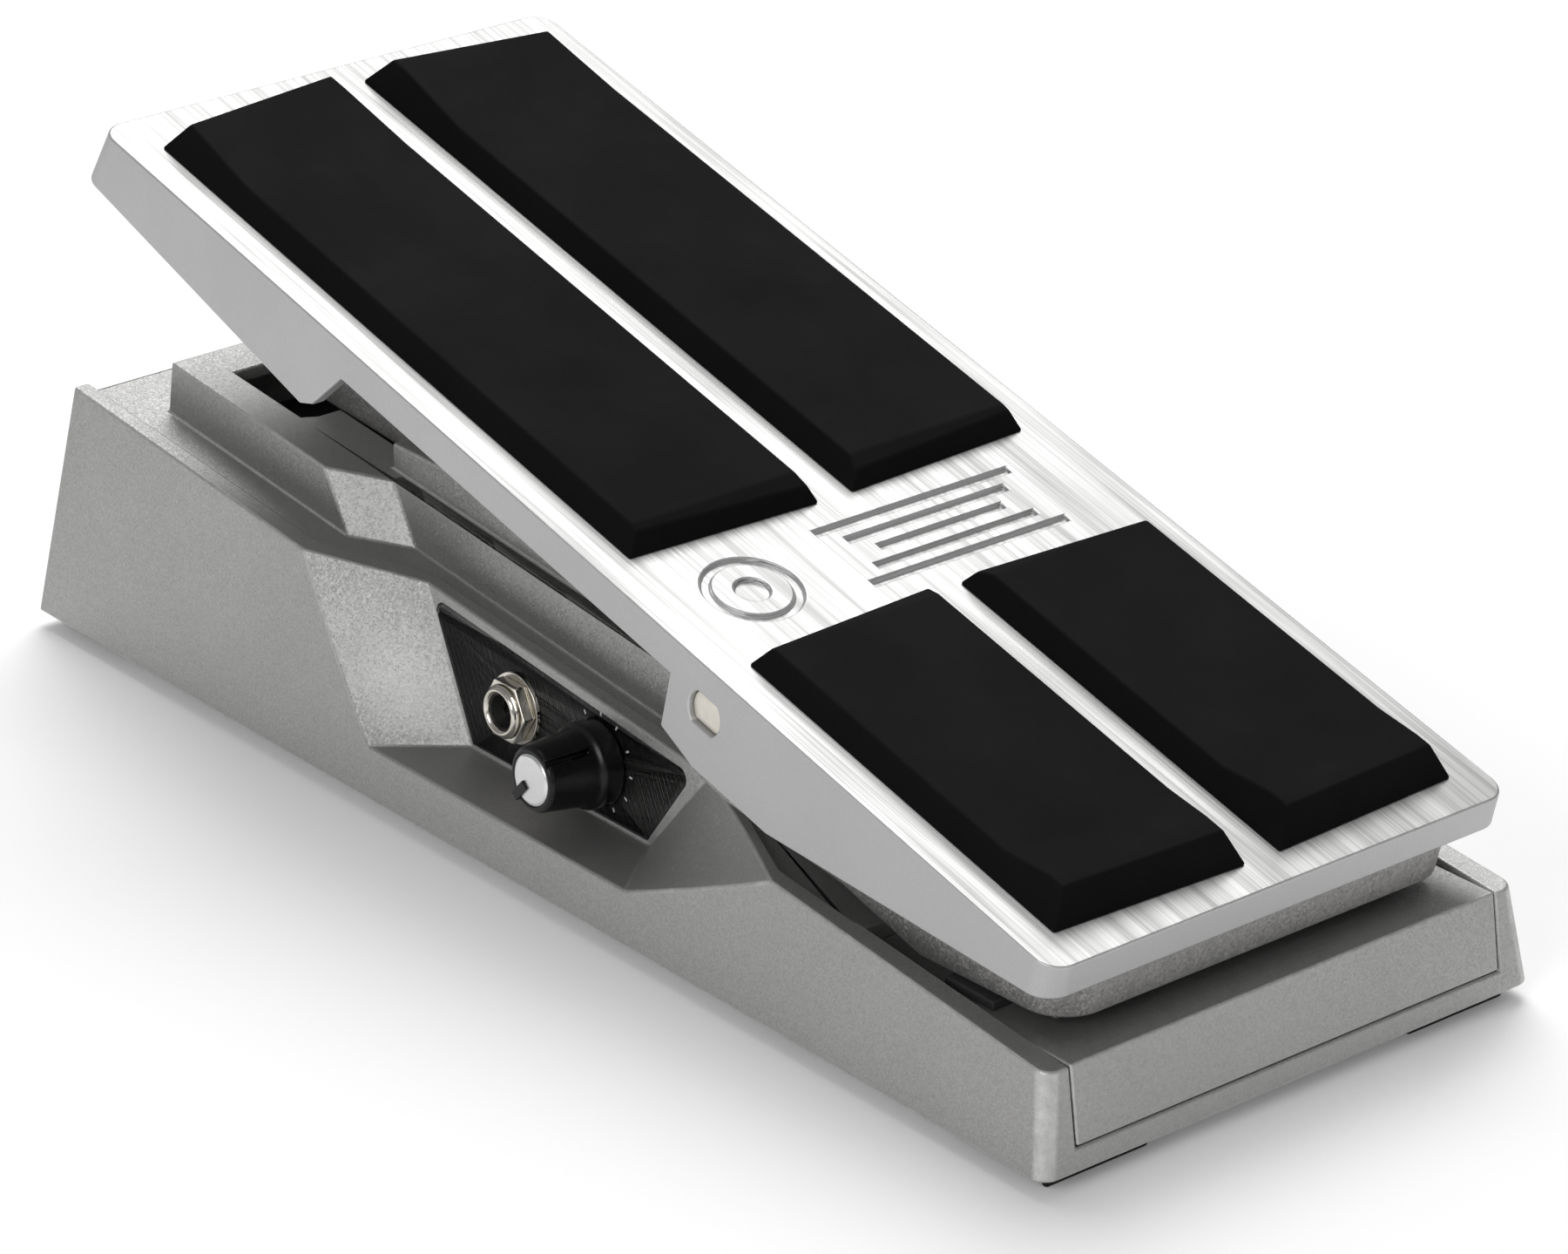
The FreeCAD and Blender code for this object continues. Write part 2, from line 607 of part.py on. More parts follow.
def panel_places():
    """Side and toe interfaces: (name, x, y, z, axis, angle) of each jack's panel face."""
    lean_x = panel_edge("tuner_jack_height")
    side_y = along("tuner_jack_place")
    side_z = up("tuner_jack_height")
    toe_y = along("(base_length - toe_recess_depth + panel_thickness)")
    toe_z = up("(toe_recess_bottom + toe_recess_top) / 2")
    return [
        ("tuner", "-" + lean_x, side_y, side_z, (0, 1, 0), "180 + panel_lean"),
        ("expression", lean_x, side_y, side_z, (0, 1, 0), "-panel_lean"),
        ("input", "toe_jack_spacing / 2", toe_y, toe_z, (0, 0, 1), "90"),
        ("output", "-toe_jack_spacing / 2", toe_y, toe_z, (0, 0, 1), "90"),
    ]


KNOB_PLACE = ("-" + panel_edge("knob_height"), along("knob_place"), up("knob_height"),
              (0, 1, 0), "180 + panel_lean")


def on_panel(piece, place):
    """Put a piece drawn with +X outwards from a panel's face where it belongs."""
    x, y, z, axis, angle = place
    return turned(piece, x, y, z, axis, angle)


def ring(label, inner, outer, start, length):
    """A ring about X: inner and outer radius, start and length."""
    body = new_body(label)
    profile = [(start, inner), (start, outer),
               ("(%s) + (%s)" % (start, length), outer), ("(%s) + (%s)" % (start, length), inner)]
    return revolve(body, profile)


def revolve(body, profile):
    """Turn a side-view profile of (x, radius) corners about the X axis."""
    sketch = outline(body, "XY_Plane", profile)
    feature = body.newObject("PartDesign::Revolution", body.Label + "_turning")
    feature.Profile = sketch
    feature.ReferenceAxis = (sketch, ["H_Axis"])
    feature.Angle = 360
    return body


def hexagon(radius):
    """Corners of a hexagon with its flats to +Y and -Y."""
    corners = []
    for step in range(6):
        turn = math.radians(60 * step)
        corners.append(("%s * %.5f" % (radius, math.cos(turn)),
                        "%s * %.5f" % (radius, math.sin(turn))))
    return corners


def jack(name, place, wall):
    """One jack: plastic housing behind the wall, threaded sleeve, washer and nut."""
    rear = "-(jack_length + %s)" % wall
    housing = box("housing_blank_" + name, (rear, "-7", "-7"), ("-(%s)" % wall, "7", "7"))
    hollow = rod("housing_hole_" + name, (rear + " - 5", "0", "0"), "jack_sleeve",
                 "jack_length + 10", "x")
    housing_cut = cut("housing_" + name, housing, [hollow])
    sleeve = new_body("sleeve_" + name)
    revolve(sleeve, [(rear, "jack_bore"), (rear, "jack_sleeve - 0.03"),
                     ("3.9", "jack_sleeve - 0.03"), ("4.5", "jack_sleeve - 0.5"),
                     ("4.5", "jack_bore + 0.5"), ("4.0", "jack_bore")])
    washer = ring("washer_" + name, "jack_sleeve + 0.1", "6.6", "0.02", "0.8")
    nut = prism("nut_blank_" + name, "YZ_Plane", hexagon("6.1"), "2.4", lift="0.84")
    hole = rod("nut_hole_" + name, ("0", "0", "0"), "jack_sleeve + 0.01", "10", "x")
    nut_cut = cut("nut_" + name, nut, [hole])
    pieces = {"housing": housing_cut, "sleeve": sleeve, "washer": washer, "nut": nut_cut}
    return {name + "_jack_" + kind: on_panel(piece, place) for kind, piece in pieces.items()}


def wall_hole(label, place, radius):
    """The hole that a sleeve passes through, in wall and panel alike."""
    hole = new_body(label)
    revolve(hole, [("-12", "0"), ("-12", radius), ("12", radius), ("12", "0")])
    return on_panel(hole, place)


def side_panel(label, gap, thickness):
    """The black plate let into the left side recess, grown by a gap, flush at its front."""
    toe = "(floor_panel_toe - knob_place - 0.4 + %s)" % gap
    heel = "(floor_panel_heel - knob_place + 1.4 - %s)" % gap
    base = "(recess_floor - knob_height + 0.8 - %s)" % gap
    top_toe = "(brink_panel_toe - knob_place - 2.4 + %s)" % gap
    top_heel = "(brink_panel_heel - knob_place + 5.6 - %s)" % gap
    at_toe = "(rim_start + brink_panel_toe * tan(rim_slope) - knob_height - 2.8 + %s)" % gap
    at_heel = "(rim_start + brink_panel_heel * tan(rim_slope) - knob_height - 2.2 + %s)" % gap
    face = [(heel, base), (toe, base), (top_toe, at_toe), (top_heel, at_heel)]
    body = rounded(prism(label, "YZ_Plane", face, thickness), "x", "panel_corner + " + gap)
    return turned(body, *KNOB_PLACE[:3], (0, 1, 0), "panel_lean")


# ---------------------------------------------------------------- gears

def polar(radius, angle, x):
    """A point at an angle from the +Y direction, in degrees, in the plane at x."""
    turn = math.radians(angle)
    return FreeCAD.Vector(x, radius * math.cos(turn), radius * math.sin(turn))


def rack_shape():
    """The curved rack about the treadle's axis: plain-sided teeth on its outer edge."""
    module = number("gear_module")
    pitch = number("rack_radius")
    width = number("rack_width")
    x = -width / 2
    step = math.degrees(module * math.pi / pitch)
    half_pitch_tooth = (module * math.pi / 2 - number("tooth_backlash")) / 2
    slope = math.tan(math.radians(20))
    centre = number("-(rest_tilt + pinion_bearing)")
    tip = pitch + 0.85 * module
    root = pitch - 1.25 * module
    spare = 2
    tooth_count = int(number("travel") / step) + spare + 1
    points = []
    for index in range(-spare, tooth_count + 1):
        middle = centre + index * step
        for radius, side in ((root, -1), (tip, -1), (tip, 1), (root, 1)):
            half = half_pitch_tooth - (radius - pitch) * slope
            points.append(polar(radius, middle + side * math.degrees(half / radius), x))
    first = centre - (spare + 1.0) * step
    last = centre + (tooth_count + 1.0) * step
    inner = pitch - 8.0
    start = polar(root, first, x)
    finish = polar(root, last, x)
    edges = [Part.makeLine(start, points[0])]
    edges += [Part.makeLine(a, b) for a, b in zip(points, points[1:])]
    edges.append(Part.makeLine(points[-1], finish))
    back = [polar(inner, angle, x) for angle in (last, (first + last) / 2, first)]
    edges.append(Part.makeLine(finish, back[0]))
    edges.append(Part.Arc(*back).toShape())
    edges.append(Part.makeLine(back[2], start))
    face = Part.Face(Part.Wire(edges))
    return face.extrude(FreeCAD.Vector(width, 0, 0))


def involute(base_radius, radius):
    """Polar angle, in degrees, of the involute where it reaches a radius."""
    roll = math.sqrt(max((radius / base_radius) ** 2 - 1, 0))
    return math.degrees(roll - math.atan(roll))


def pinion_shape():
    """The pinion about X, with a gap of its teeth turned to the treadle's axis."""
    module = number("gear_module")
    teeth = int(number("pinion_teeth"))
    pitch = module * teeth / 2
    base_radius = pitch * math.cos(math.radians(20))
    tip = pitch + 0.9 * module
    root = pitch - 1.3 * module
    half_tooth = math.degrees((module * math.pi / 2 - number("tooth_backlash")) / 2 / pitch)
    width = number("pinion_width")
    x = -width / 2
    flank = [root, base_radius, base_radius + 0.25 * (tip - base_radius), pitch, tip]
    points = []
    for index in range(teeth):
        middle = (index + 0.5) * 360.0 / teeth + 180 - number("pinion_bearing")
        for radius in flank:
            lean = involute(base_radius, pitch) - involute(base_radius, max(radius, base_radius))
            points.append(polar(radius, middle - half_tooth - lean, x))
        for radius in reversed(flank):
            lean = involute(base_radius, pitch) - involute(base_radius, max(radius, base_radius))
            points.append(polar(radius, middle + half_tooth + lean, x))
    face = Part.Face(Part.makePolygon(points + points[:1]))
    gear = face.extrude(FreeCAD.Vector(width, 0, 0))
    bore = Part.makeCylinder(number("pot_shaft_radius + 0.01"), width,
                             FreeCAD.Vector(x, 0, 0), FreeCAD.Vector(1, 0, 0))
    return gear.cut(bore)


GEAR_DISTANCE = "(rack_radius + gear_module * pinion_teeth / 2)"
PINION_Y = "(%s + %s * cos(pinion_bearing))" % (PIVOT_Y, GEAR_DISTANCE)
PINION_Z = "(%s - %s * sin(pinion_bearing))" % (PIVOT_Z, GEAR_DISTANCE)


# ---------------------------------------------------------------- treadle, about its axis

def on_treadle(piece):
    """Tilt a piece drawn with the plate level and the axis at the origin."""
    return turned(piece, "0", PIVOT_Y, PIVOT_Z, (1, 0, 0), "rest_tilt")


def depth(distance):
    """Height, from the axis, of a depth below the plate's top."""
    return "(pivot_drop - (%s))" % distance


def skirt_depth(reach):
    """Depth at which the skirt clears the rim, toe down, at a reach from the axis."""
    rim_there = "(rim_start + (pivot_from_heel + %s) * tan(rim_slope))" % reach
    return "(pivot_height + pivot_drop + %s * sin(%s) - %s - skirt_gap)" % (
        reach, TOE_TILT, rim_there)


def treadle_shell():
    """The treadle's one-piece casting: plate, edge band, skirts and ears."""
    body = new_body("treadle_casting")
    furthest = "(%s + toe_lean)" % TREADLE_TOE
    plan = [("-" + TREADLE_HALF, TREADLE_HEEL), (TREADLE_HALF, TREADLE_HEEL),
            (TREADLE_HALF, furthest), ("-" + TREADLE_HALF, furthest)]
    pad(body, outline(body, "XY_Plane", plan, depth("ear_depth + 2")), "ear_depth + 2")
    toe_low = depth(skirt_depth(furthest))
    toe_face = [(TREADLE_TOE, depth("0")), (furthest, toe_low), (furthest + " + 5", toe_low),
                (furthest + " + 5", depth("-5")), (TREADLE_TOE, depth("-5"))]
    pocket(body, outline(body, "YZ_Plane", toe_face), "base_width * 2", symmetric=True)
    rounded(body, "z", "corner_radius", 8.0)
    notch = "(%s - skirt_length)" % TREADLE_TOE
    low = depth("ear_depth + 5")
    away = "%s + 10" % TREADLE_TOE
    below = [
        ("%s - 10" % TREADLE_HEEL, depth("heel_depth - 10 * (ear_depth - heel_depth) / 68")),
        ("-ear_heel", depth("ear_depth")),
        ("0.5", depth("ear_depth")),
        ("ear_toe", depth("ear_depth - 2.5")),
        ("ear_toe", depth("band_depth")),
        ("%s - 10.5" % notch, depth("band_depth")),
        ("%s - 3.5" % notch, depth("%s - 1.9" % skirt_depth(notch))),
        (notch, depth(skirt_depth(notch))),
        (away, depth(skirt_depth("(%s)" % away))),
        (away, low),
        ("%s - 10" % TREADLE_HEEL, low),
    ]
    pocket(body, outline(body, "YZ_Plane", below), "base_width * 2", symmetric=True)
    inner = "(%s - skirt_wall)" % TREADLE_HALF
    plan = [("-" + inner, "%s + skirt_wall" % TREADLE_HEEL), (inner, "%s + skirt_wall" % TREADLE_HEEL),
            (inner, "%s - skirt_wall" % TREADLE_TOE), ("-" + inner, "%s - skirt_wall" % TREADLE_TOE)]
    under = depth("plate_thickness")
    pocket(body, outline(body, "XY_Plane", plan, under), "ear_depth * 2")
    key = shaft_profile("shell_key", "shaft_clearance", "2 * base_width", "-base_width")
    return cut("treadle_shell_blank", body, [key] + groove_tools())


def shaft_profile(label, clearance, length, start):
    """A double-D bar along X: the shaft's ends, or with a clearance the holes for them."""
    bar = rod(label + "_round", (start, "0", "0"), "pivot_radius + %s" % clearance, length, "x")
    flats = box(label + "_flats", (start, "-20", "-shaft_flat - %s" % clearance),
                ("%s + %s" % (start, length), "20", "shaft_flat + %s" % clearance))
    return common(label, [bar, flats])


def groove_tools():
    """A plain ornament in the bare band of the plate: bars and a ring, cut shallow."""
    floor = depth("0.9")
    middle = "(%s + (heel_pad_end + toe_pad_start) / 2)" % TREADLE_HEEL
    tools = []
    widths = (44.0, 36.0, 28.0, 36.0, 44.0)
    for index, width in enumerate(widths):
        offset = "%s + %g" % (middle, (index - 2) * 4.0)
        tools.append(box("groove_%d" % index,
                         ("%g" % (8 - width / 2 + 4), "%s - 0.8" % offset, floor),
                         ("%g" % (8 + width / 2 + 4), "%s + 0.8" % offset, "pivot_drop + 1")))
    ring_outer = rod("groove_ring_outer", ("-30", middle, floor), "9", "5")
    ring_inner = rod("groove_ring_inner", ("-30", middle, floor + " - 1"), "7.2", "7")
    tools.append(cut("groove_ring", ring_outer, [ring_inner]))
    tools.append(rod("groove_dot", ("-30", middle, floor), "3.2", "5"))
    return tools


RACK_SCREWS = [("-6", "(rack_radius - 13)"), ("6", "(rack_radius + 1)")]
FRAME_HALF = "(%s - frame_inset)" % TREADLE_HALF
BOX_HALF = "(%s - tower_inset - tower_lip - box_gap)" % HALF
BOX_TOE = "(%s - well_margin - 14 - pivot_from_heel)" % BLOCK_TOE


def treadle_frame():
    """The darker inner casting: heel walls beside the tower, and the box in the well."""
    def from_edge(distance):
        return "(%s + %s)" % (TREADLE_HEEL, distance)

    roof = depth("plate_thickness + 0.02")
    low = "(pivot_height - frame_floor)"
    flat_heel = from_edge("(frame_heel)")
    shell_wall = from_edge("(skirt_wall + 0.1)")
    side = [
        (shell_wall, roof),
        (shell_wall, depth("heel_depth + 0.8")),
        (flat_heel, depth("heel_depth + 0.8")),
        (flat_heel, "-(%s + (%s) * sin(rest_tilt)) / cos(rest_tilt) + 1" % (low, flat_heel)),
        (from_edge("35"), "-(%s + (%s) * sin(rest_tilt)) / cos(rest_tilt)" % (low, from_edge("35"))),
        (from_edge("55"), depth("24.5")),
        ("-2", depth("28.6")),
        ("5", depth("28.6")),
        ("8.5", depth("25")),
        ("8.5", roof),
    ]
    slab = prism("frame_slab", "YZ_Plane", side, "2 * " + FRAME_HALF, symmetric=True)
    heel_block = prism("frame_plan", "XY_Plane", [
        ("-" + FRAME_HALF, flat_heel), (FRAME_HALF, flat_heel),
        (FRAME_HALF, "40"), ("-" + FRAME_HALF, "40")], "80", lift="-60")
    rounded(heel_block, "z", "frame_corner")
    slab = common("frame_rounded_slab", [slab, heel_block])
    inner = "(%s - frame_wall)" % FRAME_HALF
    clear = box("frame_clear",
                ("-" + inner, "%s + frame_wall" % shell_wall, "-80"),
                (inner, "60", depth("plate_thickness + frame_wall")))
    roof_hole = box("frame_roof_hole",
                    ("-(%s - 8)" % FRAME_HALF, from_edge("22"), "-10"),
                    ("%s - 8" % FRAME_HALF, "20", "20"))
    heel_part = cut("frame_heel_part", slab, [clear, roof_hole])
    box_side = [
        ("box_start", roof), ("box_start", depth("14")), ("box_heel", depth("22")),
        ("box_heel", depth("30")), (BOX_TOE, depth("48")), (BOX_TOE, roof),
    ]
    box_blank = prism("frame_box_blank", "YZ_Plane", box_side, "2 * " + BOX_HALF, symmetric=True)
    box_inner = box("frame_box_inner",
                    ("-(%s - frame_wall)" % BOX_HALF, "box_start + frame_wall", "-80"),
                    ("%s - frame_wall" % BOX_HALF, "%s - frame_wall" % BOX_TOE,
                     depth("plate_thickness + frame_wall")))
    box_part = cut("frame_box_part", box_blank, [box_inner])
    spine_floor = depth("plate_thickness + frame_wall")
    crossbar = box("frame_crossbar", ("-" + FRAME_HALF, "boss_radius + 1", spine_floor),
                   (FRAME_HALF, "boss_radius + 18", roof))
    spine = box("frame_spine", ("-" + BOX_HALF, "boss_radius + 10", spine_floor),
                (BOX_HALF, "box_heel + 2", roof))
    whole = fused("frame_whole", [heel_part, box_part, crossbar, spine])
    key = shaft_profile("frame_key", "shaft_clearance", "2 * base_width", "-base_width")
    threads = [rod("rack_thread_%d" % i, (x, y, "-20"), "screw_radius - 0.17", "40")
               for i, (x, y) in enumerate(RACK_SCREWS)]
    return cut("treadle_frame_blank", whole, [key] + threads)


def tread_pad(label, heel, heel_back, toe, toe_back, raised_end):
    """The right-hand pad of a pair: bevelled sides, and a lip that rises at one end."""
    inner = "pad_rib / 2"
    outer = "(%s - pad_side)" % TREADLE_HALF
    plan = [(inner, heel), (outer, "(%s + %s)" % (heel, heel_back)),
            (outer, "(%s - %s)" % (toe, toe_back)), (inner, toe)]
    blank = prism(label + "_blank", "XY_Plane", plan, "pad_height * 2",
                  lift="pivot_drop + 0.02", taper="pad_bevel_angle")
    top = "pivot_drop + 0.02 + pad_height"
    lip = top + " + pad_lip"
    if raised_end == "heel":
        crest = "(%s + pad_crest)" % heel
        crease = "(%s + heel_pad_crease)" % heel
        line = [("%s - 9" % heel, lip), (crest, lip), (crease, top),
                ("%s - 5" % toe, top), ("%s + 5" % toe, top + " - 4")]
    else:
        crest = "(%s - pad_crest)" % toe
        crease = "(%s - toe_pad_crease)" % toe
        line = [("%s - 5" % heel, top + " - 4"), ("%s + 5" % heel, top),
                (crease, top), (crest, lip), ("%s + 9" % toe, lip)]
    low = "pivot_drop - 5"
    line = [(line[0][0], low)] + line + [(line[-1][0], low)]
    profile = prism(label + "_profile", "YZ_Plane", line, "base_width * 2", symmetric=True)
    return common(label + "_shape", [blank, profile])


# ---------------------------------------------------------------- the document

nodes = {}

# base casting
columns, pilots = screw_columns()
recess = recess_tool()
walls = cut("base_walls", base_envelope(),
            [recess, mirrored("recess_tool_left", recess), channel_tool(), toe_slope_tool()])
solid_base = fused("base_solid", [walls, raised_block()] + tower())
hollowed = cut("base_hollowed", solid_base, base_hollow() + cover_tools() + [toe_recess_tool()])
inner_columns = common("columns_inside", [fused("columns_all", columns), solid_base])
places = {name: place for name, *place in panel_places()}
holes = [wall_hole("hole_" + name, place, "jack_sleeve + 0.02") for name, place in places.items()]
knob_hole = wall_hole("hole_knob", KNOB_PLACE, "pot_shaft_radius + 0.64")
panel_room = side_panel("panel_room", "0.15", "panel_thickness + 0.03")
bearing = rod("bearing_hole", ("-" + HALF, PIVOT_Y, PIVOT_Z),
              "pivot_radius + shaft_clearance + bushing_wall + 0.02", "base_width", "x")
LIP = "(%s - tower_inset - tower_lip)" % HALF
saddle = box("tower_saddle",
             ("-" + LIP, along("pivot_from_heel - boss_radius - 2"), up("rim_start + 22")),
             (LIP, along("pivot_from_heel + boss_radius + 13"), TALL))
base_cuts = pilots + holes + well_tools()
base_cuts += [knob_hole, panel_room, mirrored("panel_room_right", panel_room), bearing, saddle]
nodes["base_shell"] = cut("base_casting", fused("base_with_columns", [hollowed, inner_columns]),
                          base_cuts)

# what closes the base from below
plate_half = "(%s - bottom_inset)" % HALF
plate_blank = box("bottom_blank",
                  ("-" + plate_half, along("bottom_inset"), up("bottom_lift")),
                  (plate_half, along("base_length - bottom_inset"),
                   up("bottom_lift + bottom_thickness")))
INSIDE = up("bottom_lift + bottom_thickness")
bracket_screw_places = [("16", "(%s + %g)" % (PINION_Y, step)) for step in (-6.0, 6.0)]
plate_holes = [rod("bottom_hole_%d" % i, (x, y, "0"), "screw_radius + 0.2", "20")
               for i, (x, y) in enumerate(screw_places())]
plate_holes += [rod("bracket_thread_%d" % i, (x, y, "0"), "screw_radius - 0.17", "20")
                for i, (x, y) in enumerate(bracket_screw_places)]
nodes["bottom_plate"] = cut("bottom_sheet", plate_blank, plate_holes)


def screw(label, x, y, seat, length, upside_down=False):
    """A pan-head screw whose head bears on a seat, its shank pointing into the work."""
    head_z = "%s - 1.5" % seat if upside_down else "%s + 0.02" % seat
    shank_z = "%s - 0.1" % seat if upside_down else "%s + 0.1 - (%s)" % (seat, length)
    head = rod(label + "_head", (x, y, head_z), "screw_radius * 1.9", "1.48")
    shank = rod(label + "_shank", (x, y, shank_z), "screw_radius - 0.22", length)
    return fused(label, [head, shank])


nodes["bottom_screws"] = [
    screw("bottom_screw_%d" % i, x, y, up("bottom_lift"), "bottom_thickness + 8", True)
    for i, (x, y) in enumerate(screw_places())
]

feet = []
for i, (side, end) in enumerate((("-", 0), ("", 0), ("-", 1), ("", 1))):
    inner_x = "(%s - foot_inset - foot_size)" % HALF
    x_low = inner_x if side == "" else "-(%s - foot_inset)" % HALF
    y_low = along("(base_length - bottom_inset - foot_size)" if end else "bottom_inset")
    blank = box("foot_blank_%d" % i, (x_low, y_low, "0"),
                (x_low + " + foot_size", y_low + " + foot_size", up("bottom_lift - 0.02")))
    grooves = [box("foot_groove_%d_%d" % (i, k),
                   (x_low + " - 1", "%s + foot_size * %g" % (y_low, (k + 0.32) / 5), "-1"),
                   (x_low + " + foot_size + 1", "%s + foot_size * %g" % (y_low, (k + 0.68) / 5),
                    "1.2"))
               for k in range(5)]
    screw_y = BOTTOM_SCREW_Y[3 if end else 0]
    grooves.append(rod("foot_screw_room_%d" % i, (side + BOTTOM_SCREW_X, screw_y, "-1"),
                       "screw_radius * 2.2", "20"))
    feet.append(cut("foot_%d" % i, blank, grooves))
nodes["rubber_feet"] = feet

nodes["heel_cover"] = prism("heel_plate", "YZ_Plane", cover_side("0"), "cover_width",
                            symmetric=True)

# panels
left_blank = side_panel("panel_left_blank", "0", "panel_thickness")
right_blank = mirrored("panel_right_blank", left_blank)
nodes["side_panel_left"] = cut("panel_left", left_blank, [holes[0], knob_hole])
nodes["side_panel_right"] = cut("panel_right", right_blank, [holes[1]])
toe_half = "(toe_recess_width / 2 - 1.5)"
toe_blank = box("toe_panel_blank",
                ("-" + toe_half, along("base_length - toe_recess_depth + 0.02"),
                 up("toe_recess_bottom + 1.5")),
                (toe_half, along("base_length - toe_recess_depth + panel_thickness"),
                 up("toe_recess_top - 1.5")))
nodes["toe_panel"] = cut("toe_plate", toe_blank, holes[2:])

# jacks
for name, place in places.items():
    nodes.update(jack(name, place, "5.2" if name in ("tuner", "expression") else "4.4"))

# minimum volume control behind the left panel, and its knob
pot_blank = new_body("minimum_pot_turning")
revolve(pot_blank, [("-13", "pot_shaft_radius + 0.05"), ("-13", "pot_radius - 2"),
                    ("-5.2", "pot_radius - 2"), ("-5.2", "pot_shaft_radius + 0.6"),
                    ("3.2", "pot_shaft_radius + 0.6"), ("3.2", "pot_shaft_radius + 0.05")])
nodes["minimum_pot_body"] = on_panel(pot_blank, KNOB_PLACE)
pot_nut = cut("minimum_nut", prism("minimum_nut_blank", "YZ_Plane", hexagon("5.4"), "2", "0.02"),
              [rod("minimum_nut_hole", ("-1", "0", "0"), "pot_shaft_radius + 0.62", "6", "x")])
nodes["minimum_pot_nut"] = on_panel(pot_nut, KNOB_PLACE)
stem = new_body("minimum_stem")
revolve(stem, [("-12", "0"), ("-12", "pot_shaft_radius"), ("knob_length - 2", "pot_shaft_radius"),
               ("knob_length - 2", "0")])
nodes["minimum_pot_shaft"] = on_panel(stem, KNOB_PLACE)
knob_end = "(knob_lift + knob_length)"
knob_turning = new_body("knob_turning")
revolve(knob_turning, [
    ("knob_lift", "knob_radius - 1.2"), ("knob_lift", "knob_radius"),
    ("knob_lift + knob_skirt", "knob_radius"), ("knob_lift + knob_skirt + 0.8", "knob_radius - 0.9"),
    (knob_end + " - 0.6", "knob_nose + 0.2"), (knob_end, "knob_nose - 0.3"),
    (knob_end, "knob_nose - 1.05"), (knob_end + " - 0.6", "knob_nose - 1.05"),
    (knob_end + " - 0.6", "pot_shaft_radius + 0.01"), ("knob_lift + 3", "pot_shaft_radius + 0.01"),
    ("knob_lift + 3", "knob_radius - 1.2"),
])
pointer = box("knob_pointer", ("knob_lift + knob_skirt + 1", "-0.45", "knob_nose - 0.35"),
              ("knob_length * 2", "0.45", "knob_radius * 2"))
nodes["volume_knob"] = on_panel(cut("knob_body", knob_turning, [pointer]), KNOB_PLACE)
cap = new_body("knob_cap_turning")
revolve(cap, [(knob_end + " - 0.58", "0"), (knob_end + " - 0.58", "knob_nose - 1.07"),
              (knob_end + " - 0.05", "knob_nose - 1.07"), (knob_end + " + 0.25", "knob_nose - 1.6"),
              (knob_end + " + 0.25", "0")])
nodes["knob_cap"] = on_panel(cap, KNOB_PLACE)

# circuit board on its standoffs
board_places = [(sign + "29", along(place)) for sign in ("-", "")
                for place in ("(floor_heel)", "(tuner_jack_place - 2)")]
board_low = "(%s + 5.2)" % INSIDE
board_holes = [rod("board_hole_%d" % i, (x, y, "0"), "screw_radius", "40")
               for i, (x, y) in enumerate(board_places)]
board = box("board_blank", ("-34", along("floor_heel - 5"), board_low + " + 0.02"),
            ("34", along("tuner_jack_place + 3"), board_low + " + 1.6"))
nodes["circuit_board"] = cut("board_sheet", board, board_holes)
standoffs = []
for i, (x, y) in enumerate(board_places):
    post = rod("standoff_post_%d" % i, (x, y, INSIDE + " + 0.02"), "2.8", "5.18")
    bore = rod("standoff_bore_%d" % i, (x, y, INSIDE + " + 1"), "screw_radius - 0.17", "8")
    standoffs.append(cut("standoff_%d" % i, post, [bore]))
nodes["board_standoffs"] = standoffs
nodes["board_screws"] = [screw("board_screw_%d" % i, x, y, board_low + " + 1.6", "5")
                         for i, (x, y) in enumerate(board_places)]

# main potentiometer on its bracket
BRACKET = "6"
upright = box("bracket_upright", (BRACKET, "%s - 9" % PINION_Y, INSIDE + " + 0.02"),
              (BRACKET + " + 1.5", "%s + 9" % PINION_Y, "%s + pot_radius + 1" % PINION_Z))
bracket_foot = box("bracket_foot", (BRACKET, "%s - 9" % PINION_Y, INSIDE + " + 0.02"),
                   ("21", "%s + 9" % PINION_Y, INSIDE + " + 1.5"))
bracket_cuts = [rod("bracket_eye", ("0", PINION_Y, PINION_Z), "pot_shaft_radius + 0.62", "12", "x")]
bracket_cuts += [rod("bracket_hole_%d" % i, (x, y, "0"), "screw_radius + 0.1", "30")
                 for i, (x, y) in enumerate(bracket_screw_places)]
nodes["pot_bracket"] = cut("bracket_sheet", fused("bracket_blank", [upright, bracket_foot]),
                           bracket_cuts)
nodes["bracket_screws"] = [screw("bracket_screw_%d" % i, x, y, INSIDE + " + 1.5", "3")
                           for i, (x, y) in enumerate(bracket_screw_places)]
main_pot = new_body("main_pot_turning")
revolve(main_pot, [("7.52", "pot_shaft_radius + 0.6"), ("7.52", "pot_radius"), ("16", "pot_radius"),
                   ("16", "pot_shaft_radius + 0.05"), ("3.4", "pot_shaft_radius + 0.05"),
                   ("3.4", "pot_shaft_radius + 0.6")])
nodes["main_pot_body"] = turned(main_pot, "0", PINION_Y, PINION_Z)
main_nut = cut("main_nut", prism("main_nut_blank", "YZ_Plane", hexagon("5.4"), "1.9", "4.08"),
               [rod("main_nut_hole", ("0", "0", "0"), "pot_shaft_radius + 0.62", "12", "x")])
nodes["main_pot_nut"] = turned(main_nut, "0", PINION_Y, PINION_Z)
spindle = new_body("main_spindle")
revolve(spindle, [("-3.2", "0"), ("-3.2", "pot_shaft_radius"), ("14", "pot_shaft_radius"),
                  ("14", "0")])
nodes["pot_shaft"] = turned(spindle, "0", PINION_Y, PINION_Z)

